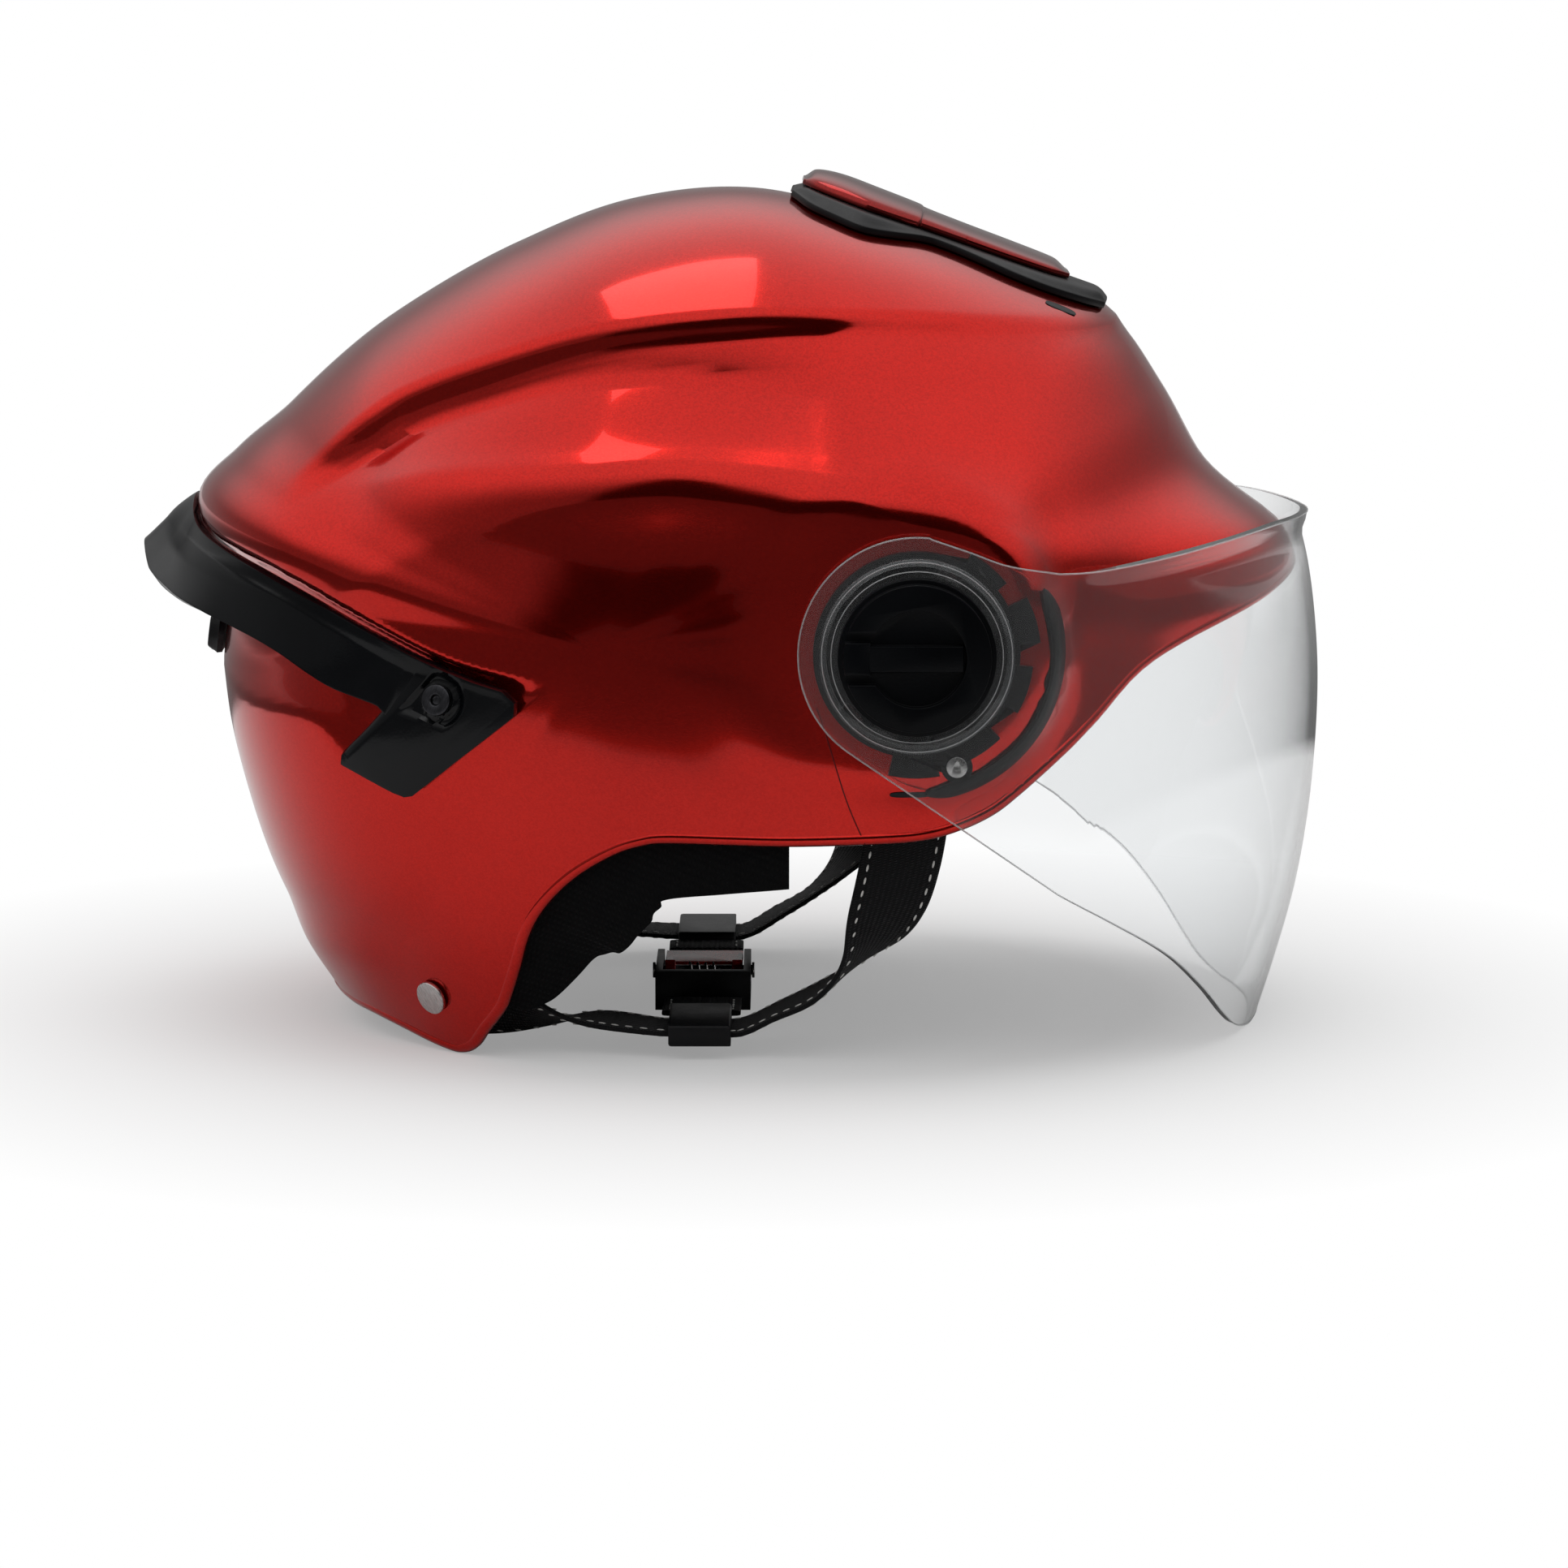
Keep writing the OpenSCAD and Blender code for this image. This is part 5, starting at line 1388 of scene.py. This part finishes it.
def buildExhaust():
    f = exhaustForm

    def place(u, v, lift):
        p = smoothRoute(f["plan"], u * (len(f["plan"]) - 1))
        return spinePoint(p[:, 0], p[:, 1] * (2 * v - 1), lift)

    def upper(u, v):
        return place(u, v, f["rim"] + f["rise"] * ease(0, 1, fromEdge(u, v, *f["slopes"])))

    piece = closedPlate("rearExhaust", 30, 40, upper, lambda u, v: place(u, v, f["base"] + 0 * u))
    smooth(piece, 40)
    settle(piece, "helmet", "satin_black", satinBlack, "rear_exhaust")


buildExhaust()
print("exhaust shaped")


# foam: one skin that runs up the outside, round the rim and down the inside
foamForm = {
    "mid": (-14.0, 0.0, 100.0),
    "half": (112.0, 88.0, 104.0),
    "gap": 1.0,
    "clear": 5.3,
    "clearUp": (62, 84),
    "topSteps": 60,
    "rows": 41,
    "edge": [
        (-127, 40), (-126, 36.5), (-120, 34.5), (-112.5, 32.5), (-104, 32), (-88, 30), (-72, 33),
        (-64, 41), (-57, 50), (-48, 59), (-36, 66.5), (-18, 71), (2, 71), (20, 70.5), (40, 71),
        (54, 73), (68, 79), (80, 88), (91, 100), (99, 112), (107, 125), (116, 137), (128, 147),
        (138, 151)],
}
cavityMid, cavityHalf = np.array(foamForm["mid"]), np.array(foamForm["half"])


def cavityReach(d):
    return 1 / np.linalg.norm(d / cavityHalf, axis=-1)


def buildFoam():
    f = foamForm
    edge = smoothRoute(f["edge"], np.linspace(0, len(f["edge"]) - 1, 3 * len(f["edge"])))[1:-1]
    first, last = sideAngle(*f["edge"][-1]), sideAngle(*f["edge"][0])
    over = np.linspace(first, last, f["topSteps"])
    angles = np.concatenate([over, sideAngle(edge[:, 0], edge[:, 1]), [first + 360]])
    turns = np.concatenate([0 * over + 90, turnOf(edge[:, 0], edge[:, 1]), [90.0]])
    order = np.arange(len(angles))

    def place(u, v):
        at = u * order[-1]
        angle, full = np.interp(at, order, angles), np.interp(at, order, turns)
        p = domePoint(angle, full * np.where(v <= 0.5, v * 2, 2 - v * 2))
        p = grown(p, -(shellForm["wall"] + f["gap"] + f["clear"] * ease(*f["clearUp"], p[:, 2])))
        way = unitRows(p - cavityMid)
        inner = cavityMid + way * cavityReach(way)[:, None]
        return np.where((v <= 0.5)[:, None], p, inner)

    piece = shapedGrid("foamLiner", len(angles) - 1, f["rows"], place)
    pick(piece)
    bpy.ops.object.mode_set(mode="EDIT")
    bpy.ops.mesh.select_mode(type="FACE")
    bpy.ops.mesh.select_all(action="DESELECT")
    bpy.ops.object.mode_set(mode="OBJECT")
    corners = piece.data.vertices
    for face in piece.data.polygons:    # the flat faces on the plane of symmetry go
        face.select = all(abs(corners[k].co.y) < 2 * weldGap for k in face.vertices)
    bpy.ops.object.mode_set(mode="EDIT")
    bpy.ops.mesh.delete(type="FACE")
    bpy.ops.object.mode_set(mode="OBJECT")
    applyModifier(piece, "MIRROR", use_axis=(False, True, False), use_mirror_merge=True,
                  merge_threshold=5 * weldGap)
    closeUp(piece, 3 * weldGap)
    smooth(piece, 45)
    settle(piece, "helmet", "impact_foam", foamBeads, "foam_liner")


buildFoam()
print("foam shaped")


# comfort pads: crowned, drawn in at the sides, with sewn channels and a piped border
padForm = {
    "thick": 9.0,
    "border": 3.0,
    "drawIn": 0.05,
    "gap": 1.3,
    "channel": 0.45,
    "channelWidth": 0.05,
    "squareness": 2.4,
    "pads": {
        "browPad": ("brow_pad", (0, 32), (44, 10), (-0.5, 0, 0.5)),
        "neckPad": ("neck_pad", (180, -14), (38, 17), (-0.45, 0.45)),
        "earPadRight": ("ear_pad_right", (-88, -4), (34, 20), (-0.35, 0.35)),
    },
    "crownReach": 40.0,
    "crownSeam": 0.38,
}


def inCavity(d, deep):
    return cavityMid + d * (cavityReach(d) - deep)[:, None]


def padCrown(out):
    return np.maximum(0, 1 - np.abs(out) ** padForm["squareness"]) ** 0.5


def padDepth(crown, seams):
    f = padForm
    return f["gap"] + f["border"] + (f["thick"] - f["border"]) * crown * (1 - f["channel"] * seams)


def buildPad(name, middle, half, channels):
    f = padForm

    def spot(a, b):
        u, v = 2 * a - 1, 2 * b - 1
        around = np.radians(middle[0] + half[0] * u * (1 - f["drawIn"] * (1 - v * v)))
        up = np.radians(middle[1] + half[1] * v * (1 - f["drawIn"] * (1 - u * u)))
        way = [np.cos(around) * np.cos(up), np.sin(around) * np.cos(up), np.sin(up)]
        return u, v, np.stack(way, 1)

    def face(a, b):
        u, v, d = spot(a, b)
        seams = np.max([bell(u - c, f["channelWidth"]) for c in channels], axis=0)
        return inCavity(d, padDepth(padCrown(u) * padCrown(v), seams))

    def back(a, b):
        return inCavity(spot(a, b)[-1], f["gap"])

    return closedPlate(name, 90, 50, face, back)


def buildCrownPad():
    f = padForm

    def spot(a, b):
        u, v = 2 * a - 1, 2 * b - 1
        x, y = u * np.sqrt(1 - v * v / 2), v * np.sqrt(1 - u * u / 2)    # a square made round
        out = np.minimum(1, np.hypot(x, y))
        tilt, around = np.radians(f["crownReach"] * out), np.arctan2(y, x)
        way = [np.cos(around) * np.sin(tilt), np.sin(around) * np.sin(tilt), np.cos(tilt)]
        return x, y, out, np.stack(way, 1)

    def face(a, b):
        x, y, out, d = spot(a, b)
        long = bell(np.abs(y) - f["crownSeam"], f["channelWidth"])
        seams = np.maximum(long, bell(x, f["channelWidth"]))
        return inCavity(d, padDepth(padCrown(out), seams))

    def back(a, b):
        return inCavity(spot(a, b)[-1], f["gap"])

    return closedPlate("crownPad", 70, 70, face, back)


# lining that shows inside the side opening, hung from the shell's edge between two of its points
liningForm = {
    "from": 9,
    "to": 20,
    "up": 7.0,
    "down": [(9, 5), (11, 16), (13, 24), (15, 24), (18, 17), (20, 13)],
    "gap": 0.5,
    "thick": 4.2,
    "piping": 1.2,
    "held": 2.0,
    "lean": 0.16,
    "slopes": (22, 5),
}


def buildEdgeLining():
    f = liningForm
    edge = np.array(shellForm["edge"], float)

    def spot(u, v, deep):
        at, reach = mix(f["from"], f["to"], u), 0.2
        step = smoothRoute(edge, at + reach) - smoothRoute(edge, at - reach)
        away = unitRows(np.stack([-step[:, 1], step[:, 0]], 1))
        w = mix(f["up"], -heightOn(f["down"], at), v)
        held = smoothRoute(edge, at) + away * np.maximum(w, f["held"])[:, None]
        p = shellAt(held[:, 0], held[:, 1], -(shellForm["wall"] + f["gap"] + deep))
        over = np.minimum(w - f["held"], 0)
        return p + np.stack([away[:, 0] * over, -f["lean"] * over, away[:, 1] * over], 1)

    def face(u, v):
        crown = np.sqrt(ease(0, 1, fromEdge(u, v, *f["slopes"])))
        return spot(u, v, mix(f["piping"], f["thick"], crown))

    return closedPlate("edgeLining", 90, 24, face, lambda u, v: spot(u, v, 0 * u))


def finishPad(piece, node):
    smooth(piece, 60)
    settle(piece, "helmet", "lining_cloth", lining, node)


for padName, (padNode, *padShape) in padForm["pads"].items():
    pad = buildPad(padName, *padShape)
    if padNode == "ear_pad_right":
        pad = joinAll([pad, buildEdgeLining()], padName)
        finishPad(leftCopy(pad, "earPadLeft"), "ear_pad_left")
    finishPad(pad, padNode)
finishPad(buildCrownPad(), "crown_pad")
print("pads sewn")


# straps: flat webbing with a map along and across it, and rows of stitches
strapForm = {
    "width": 22.0,
    "thick": 1.6,
    "edgeRound": (0.18, 0.45),
    "sides": 28,
    "rivet": (-80.6, 16.5),
    "seat": 1.9,
    "rivetLead": (1, 0.1, -0.16),
    "rivetHold": 8.0,
    "slider": (-8.0, -78.0, 7.0),
    "sliderHalf": 11.0,
    "sliderBar": 9.2,
    "frontY": 105.7,
    "buckleZ": 5.0,
    "buckleFrom": -26.0,
    "tongueTo": 40.0,
    "stitch": (0.34, 0.26, 1.15),
    "stitchIn": 2.2,
    "stitchStep": 3.9,
    "sewnFrom": 36.0,
    "sewnTo": 26.0,
}


# each route comes with the way that the strap lies across it
def strapRoute():
    f = strapForm
    seat, out = seatOn(f["rivet"])
    hold = seat - out * (shellForm["wall"] + f["seat"] + f["thick"] / 2)
    lead = np.array(f["rivetLead"])
    lead = lead - out * (lead @ out)
    lead = lead / np.linalg.norm(lead)
    side = np.cross(lead, out)
    forward, level = np.array([1.0, 0.0, 0.0]), np.array([0.0, 1.0, 0.0])
    slider, half = np.array(f["slider"]), f["sliderHalf"] * forward
    plateY = -f["frontY"]
    stops = [
        ((pivotX, plateY, pivotZ - 11), forward),
        ((pivotX, plateY, pivotZ - 22), forward),
        ((pivotX - 0.4, plateY + 1.8, pivotZ - 32), forward),
        ((48.6, -99.6, 70), (1, 0, 0.05)),
        ((46.5, -97, 56), (1, 0.1, 0.1)),
        ((43, -94.5, 43), (1, 0.25, 0.3)),
        ((37, -91, 30.5), (0.8, 0.5, 0.5)),
        ((27, -86.5, 20), (0.45, 0.8, 0.3)),
        ((14, -81.5, 12.5), (0.1, 1, 0.05)),
        (slider + half, level),
        (slider, level),
        (slider - half, level),
        ((-36, -74.5, 8.5), level),
        ((-50, -73.5, 9), mix(level, side, 0.4)),
        ((-61, -75.5, 11), mix(level, side, 0.8)),
        (hold + lead * f["rivetHold"], side),
        (hold, side),
        (hold - lead * f["rivetHold"], side),
    ]
    places, across = zip(*stops)
    return np.array(places, float), np.array(across, float)


def chinRoute(rightSide):
    f = strapForm
    x, sliderY, z = f["slider"]
    start, low = sliderY + f["width"] / 2 + f["sliderBar"], f["buckleZ"]
    if rightSide:
        end = f["buckleFrom"]
        stops = [(start, z), (start + 10, z - 0.4), ((start + end) / 2, z - 1.6),
                 (end - 12, low + 0.2), (end - 0.3, low)]
    else:
        end = f["tongueTo"]
        stops = [(-start, z), (-start - 6, z - 0.3), ((end - start) / 2, z - 0.9),
                 (end + 8, low + 0.2), (end + 0.3, low)]
    return np.array([(x, *stop) for stop in stops]), np.tile([1.0, 0, 0], (len(stops), 1))


class Ribbon:
    def __init__(self, route, across, steps):
        t = np.linspace(0, len(route) - 1, steps + 1)
        self.middle = smoothRoute(route, t)
        lengths = np.linalg.norm(np.diff(self.middle, axis=0), axis=1)
        self.length = np.concatenate([[0], np.cumsum(lengths)])
        self.along = unitRows(np.gradient(self.middle, axis=0))
        wide = smoothRoute(across, t)
        lengthwise = np.sum(wide * self.along, axis=1, keepdims=True)
        self.across = unitRows(wide - self.along * lengthwise)
        self.out = np.cross(self.along, self.across)

    def at(self, distance):
        def read(rows):
            return np.stack([np.interp(distance, self.length, rows[:, k]) for k in range(3)], 1)
        ways = [unitRows(read(rows)) for rows in (self.along, self.across, self.out)]
        return read(self.middle), *ways


def buildStrap(name, ribbon):
    f = strapForm
    steps, total = len(ribbon.length) - 1, ribbon.length[-1]
    halfWidth, halfThick = f["width"] / 2, f["thick"] / 2

    def profile(v):
        c, s = np.cos(2 * np.pi * v), np.sin(2 * np.pi * v)
        sideRound, faceRound = f["edgeRound"]
        wide = halfWidth * np.sign(c) * np.abs(c) ** sideRound
        return wide, halfThick * np.sign(s) * np.abs(s) ** faceRound

    def place(u, v):
        wide, high = profile(v)
        middle, _, across, out = ribbon.at(u * total)
        return middle + across * wide[:, None] + out * high[:, None]

    piece = shapedGrid(name, steps, f["sides"], place)
    marks = piece.data.uv_layers.active
    marks.name = "strapMap"
    uv = np.empty(len(marks.data) * 2)
    marks.data.foreach_get("uv", uv)
    uv = uv.reshape(-1, 2)
    strapUv = np.stack([uv[:, 0] * total, profile(uv[:, 1])[0]], 1) * mm
    marks.data.foreach_set("uv", strapUv.ravel())
    closeUp(piece)
    pick(piece)
    bpy.ops.object.mode_set(mode="EDIT")
    bpy.ops.mesh.select_all(action="DESELECT")
    bpy.ops.mesh.select_non_manifold(extend=False)
    bpy.ops.mesh.edge_face_add()
    bpy.ops.object.mode_set(mode="OBJECT")
    closeUp(piece)
    smooth(piece, 50)
    return piece


# one stitch is a small rounded bar, set out along both edges on both faces
def buildStitches(name, ribbon, start, stop):
    f = strapForm
    clearSelection()
    bpy.ops.mesh.primitive_uv_sphere_add(segments=6, ring_count=4, radius=1)
    stitch = bpy.context.object
    ball = coords(stitch) * f["stitch"]
    faces = [list(face.vertices) for face in stitch.data.polygons]
    bpy.data.objects.remove(stitch)
    spots = np.arange(start, stop, f["stitchStep"])
    middle, along, across, out = ribbon.at(spots)
    sideways, proud = f["width"] / 2 - f["stitchIn"], f["thick"] / 2 + 0.02
    points, polygons = [], []
    for edge in (-1, 1):
        for face in (-1, 1):
            centre = middle + across * edge * sideways + out * face * proud
            for k in range(len(spots)):
                bar = centre[k] + ball @ np.stack([across[k], out[k], along[k]])
                polygons += [[i + len(points) for i in poly] for poly in faces]
                points += [tuple(p * mm) for p in bar]
    mesh = bpy.data.meshes.new(name)
    mesh.from_pydata(points, [], polygons)
    piece = addObject(name, mesh)
    closeUp(piece, 0.1 * weldGap)
    smooth(piece, 60)
    return piece


def buildStraps():
    f = strapForm
    side = Ribbon(*strapRoute(), 240)
    strap = buildStrap("sideStrapRight", side)
    sewn = buildStitches("strapStitchesRight", side, f["sewnFrom"], side.length[-1] - f["sewnTo"])
    settle(leftCopy(strap, "sideStrapLeft"), "helmet", "webbing", webbing, "strap_left")
    settle(leftCopy(sewn, "strapStitchesLeft"), "helmet", "webbing", thread)
    settle(strap, "helmet", "webbing", webbing, "strap_right")
    settle(sewn, "helmet", "webbing", thread)
    for name, node, rightSide in (("chinStrapRight", "chin_strap_right", True),
                                  ("chinStrapLeft", "chin_strap_left", False)):
        ribbon = Ribbon(*chinRoute(rightSide), 60)
        settle(buildStrap(name, ribbon), "helmet", "webbing", webbing, node)
        sewn = buildStitches(name + "Stitches", ribbon, 3, ribbon.length[-1] - 2)
        settle(sewn, "helmet", "webbing", thread)


buildStraps()
print("straps woven")


# hardware that keeps its solid, with rounded edges: edge radius, body and slot
hardware = {
    "wing_screws": (0.5, "helmet", "dark_screw"),
    "wing_nuts": (0.2, "helmet", "bright_steel"),
    "pivot_screws": (0.3, "helmet", "bright_steel"),
    "pivot_nuts": (0.3, "helmet", "bright_steel"),
    "plate_screws": (0.12, "helmet", "bright_steel"),
    "anchor_plates": (0.3, "helmet", "bright_steel"),
    "rear_rivets": (0.35, "helmet", "bright_steel"),
    "rear_washers": (0.2, "helmet", "bright_steel"),
    "strap_slider_right": (0.8, "helmet", "satin_black"),
    "strap_slider_left": (0.8, "helmet", "satin_black"),
    "buckle_body": (0.6, "helmet", "satin_black"),
    "buckle_tongue": (0.15, "helmet", "bright_steel"),
    "buckle_lever": (0.5, "lever", "red_plastic"),
    "buckle_pin": (0.2, "helmet", "bright_steel"),
}
hardwareFinish = {
    "dark_screw": darkSteel,
    "bright_steel": brightSteel,
    "satin_black": satinBlack,
    "red_plastic": leverRed,
}


def buildHardware():
    for node, (edge, body, slot) in hardware.items():
        first, *rest = node.split("_")
        piece = roundedCopy(node, first + "".join(word.title() for word in rest), edge)
        settle(piece, body, slot, hardwareFinish[slot], node)
    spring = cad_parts["buckle_spring"]
    spring.data.materials.clear()
    spring.data.materials.append(brightSteel)


buildHardware()
print("hardware finished")


# fine marks on the shell: a seam by each pivot, and flat black patches that paint the shade inside
# a slot by each pivot and a dimple over the brow
markForm = {
    # the slot and the dimple are flat black ovals of painted shade, not hollows
    "spots": {"slot": ((48.6, 76.2), (5.6, 0.95)), "dimpleShade": ((89.0, 200.0), (4.6, 2.0))},
    "squareness": 0.7,
    "halfDepth": 0.22,
    "seam": [(22.3, 100), (24.6, 94), (28.8, 82.5), (33, 71), (36.7, 62.5)],
    "seamR": 0.22,
    "seamSunk": 0.12,
}


def markOn(name, place, half):
    clearSelection()
    bpy.ops.mesh.primitive_uv_sphere_add(segments=32, ring_count=16, radius=1)
    piece = bpy.context.object
    piece.name = piece.data.name = name
    seat, out = seatOn(place)
    along = np.array([1.0, 0, 0]) - out * out[0]
    along = along / np.linalg.norm(along)
    ball = coords(piece)
    ball[:, :2] = np.sign(ball[:, :2]) * np.abs(ball[:, :2]) ** markForm["squareness"]
    ball *= (*half, markForm["halfDepth"])
    setCoords(piece, (seat + ball @ np.stack([along, np.cross(out, along), out])) * mm)
    closeUp(piece)
    smooth(piece, 50)
    return piece


def buildShellMarks():
    f = markForm
    for name, (place, half) in f["spots"].items():
        # each patch is painted shade in satin black
        mark = markOn(name + "Right", place, half)
        for piece in (mark, leftCopy(mark, name + "Left")):
            settle(piece, "helmet", "satin_black", satinBlack)
    path = smoothRoute(f["seam"], np.linspace(0, len(f["seam"]) - 1, 40))
    route = shellAt(path[:, 0], path[:, 1], -f["seamSunk"])
    seam = beadAlong("shellSeamRight", route, f["seamR"], sides=2)
    for piece in (seam, leftCopy(seam, "shellSeamLeft")):
        settle(piece, "helmet", "candy_red", seamDark)


buildShellMarks()
print("shell marked")


# floor, light and surroundings: distances in metres
stageSetup = {
    "floorR": 60.0,
    "floor": (0.72, 0.72, 0.72, 1),
    # the far floor's colour is painted shade: dark, as floor that the light doesn't reach
    "farFloorShade": (0.12, 0.12, 0.12, 1),
    "shadeReach": (0.54, 0.6),
    "whiteSeen": (0.12, 0.3, 0.3, 1),
    "whiteMirrored": (0.4, 3.0),
    "mirrored": 0.45,
    "panelPlace": (-0.06, 0.12, 1.3),
    "panelTarget": (-0.04, 0, 0.12),
    "panelSize": 0.6,
    "panelPower": 2.3,
    "backdrop": 0.25,
    "overhead": 1.05,
    "overheadFrom": (0.2, 0.72),
    "behindCamera": 0.01,
    "darkToward": (0.3, -0.954, 0),
    "darkSides": (0.9, 0.8),
    "darkTop": (0.44, 0.52),
}


# what the camera sees, straight or through the clear sheet, but not by way of a mirror
def seenStraight(tree, path):
    bounces = math2(tree, "ADD", path["Glossy Depth"], path["Diffuse Depth"])
    unbounced = math2(tree, "LESS_THAN", bounces, 0.5)
    through = math2(tree, "MULTIPLY", path["Is Transmission Ray"], unbounced)
    return math2(tree, "MINIMUM", math2(tree, "ADD", path["Is Camera Ray"], through), 1.0)


# white as seen by the camera away from the object, and paler in mirrors beyond it
def floorMaterial():
    s = stageSetup
    material, tree, shader = newMaterial("paleFloor", {"Roughness": 0.9, "Specular IOR Level": 0.1})
    place = addNode(tree, "ShaderNodeTexCoord").outputs["Object"]
    far = addNode(tree, "ShaderNodeVectorMath", operation="LENGTH")
    parts = addNode(tree, "ShaderNodeSeparateXYZ")
    for node in (far, parts):
        tree.links.new(place, node.inputs[0])
    away = far.outputs["Value"]
    # further out the floor's colour turns dark: painted shade of floor beyond the light
    shadeShare = remap(tree, away, *s["shadeReach"], 0, 1)
    colourBy(tree, shader, shadeShare, s["floor"], s["farFloorShade"])
    path = addNode(tree, "ShaderNodeLightPath").outputs
    near = math2(tree, "MULTIPLY", seenStraight(tree, path), remap(tree, away, *s["whiteSeen"]))
    beyond = remap(tree, parts.outputs[1], *s["whiteMirrored"], 0, s["mirrored"])
    wide = math2(tree, "MULTIPLY", path["Is Glossy Ray"], beyond)
    share = math2(tree, "MINIMUM", math2(tree, "MAXIMUM", near, wide), 1.0)
    white = addNode(tree, "ShaderNodeEmission", Color=(1, 1, 1, 1), Strength=1.0)
    blend = addNode(tree, "ShaderNodeMixShader")
    for value, socket in zip((share, shader.outputs[0], white.outputs[0]), blend.inputs):
        tree.links.new(value, socket)
    tree.links.new(blend.outputs[0], tree.nodes["Material Output"].inputs["Surface"])
    return material


def buildFloor():
    clearSelection()
    bpy.ops.mesh.primitive_circle_add(vertices=96, radius=stageSetup["floorR"], fill_type="NGON")
    floor = bpy.context.object
    floor.name = "studioFloor"
    floor.data.materials.append(floorMaterial())


def buildPanel():
    s = stageSetup
    lamp = bpy.data.lights.new("overPanel", "AREA")
    lamp.shape = "RECTANGLE"
    lamp.size = lamp.size_y = s["panelSize"]
    lamp.energy = s["panelPower"]
    aim(addObject("overPanel", lamp), s["panelPlace"], s["panelTarget"])


# a bright overhead, a dimmer backdrop and a dark patch behind the camera
def buildRoom():
    s = stageSetup
    world = bpy.data.worlds.new("studioRoom")
    bpy.context.scene.world = world
    world.use_nodes = True
    tree = world.node_tree
    tree.nodes.clear()
    way = addNode(tree, "ShaderNodeTexCoord").outputs["Generated"]
    parts = addNode(tree, "ShaderNodeSeparateXYZ")
    toward = addNode(tree, "ShaderNodeVectorMath", operation="DOT_PRODUCT")
    toward.inputs[1].default_value = s["darkToward"]
    for node in (parts, toward):
        tree.links.new(way, node.inputs[0])
    up = parts.outputs[2]
    room = remap(tree, up, *s["overheadFrom"], s["backdrop"], s["overhead"])
    beside = remap(tree, toward.outputs["Value"], *s["darkSides"], 0, 1)
    above = remap(tree, up, *s["darkTop"], 0, 1)
    for edge in (room, beside, above):
        edge.node.interpolation_type = "SMOOTHSTEP"
    lit = math2(tree, "MULTIPLY", room, math2(tree, "MAXIMUM", beside, above))
    level = math2(tree, "MAXIMUM", lit, s["behindCamera"])
    path = addNode(tree, "ShaderNodeLightPath").outputs
    level = math2(tree, "MAXIMUM", level, seenStraight(tree, path))
    sky = addNode(tree, "ShaderNodeBackground", Color=(1, 1, 1, 1))
    tree.links.new(level, sky.inputs["Strength"])
    end = addNode(tree, "ShaderNodeOutputWorld")
    tree.links.new(sky.outputs[0], end.inputs["Surface"])


buildFloor()
buildPanel()
buildRoom()
print("stage lit")
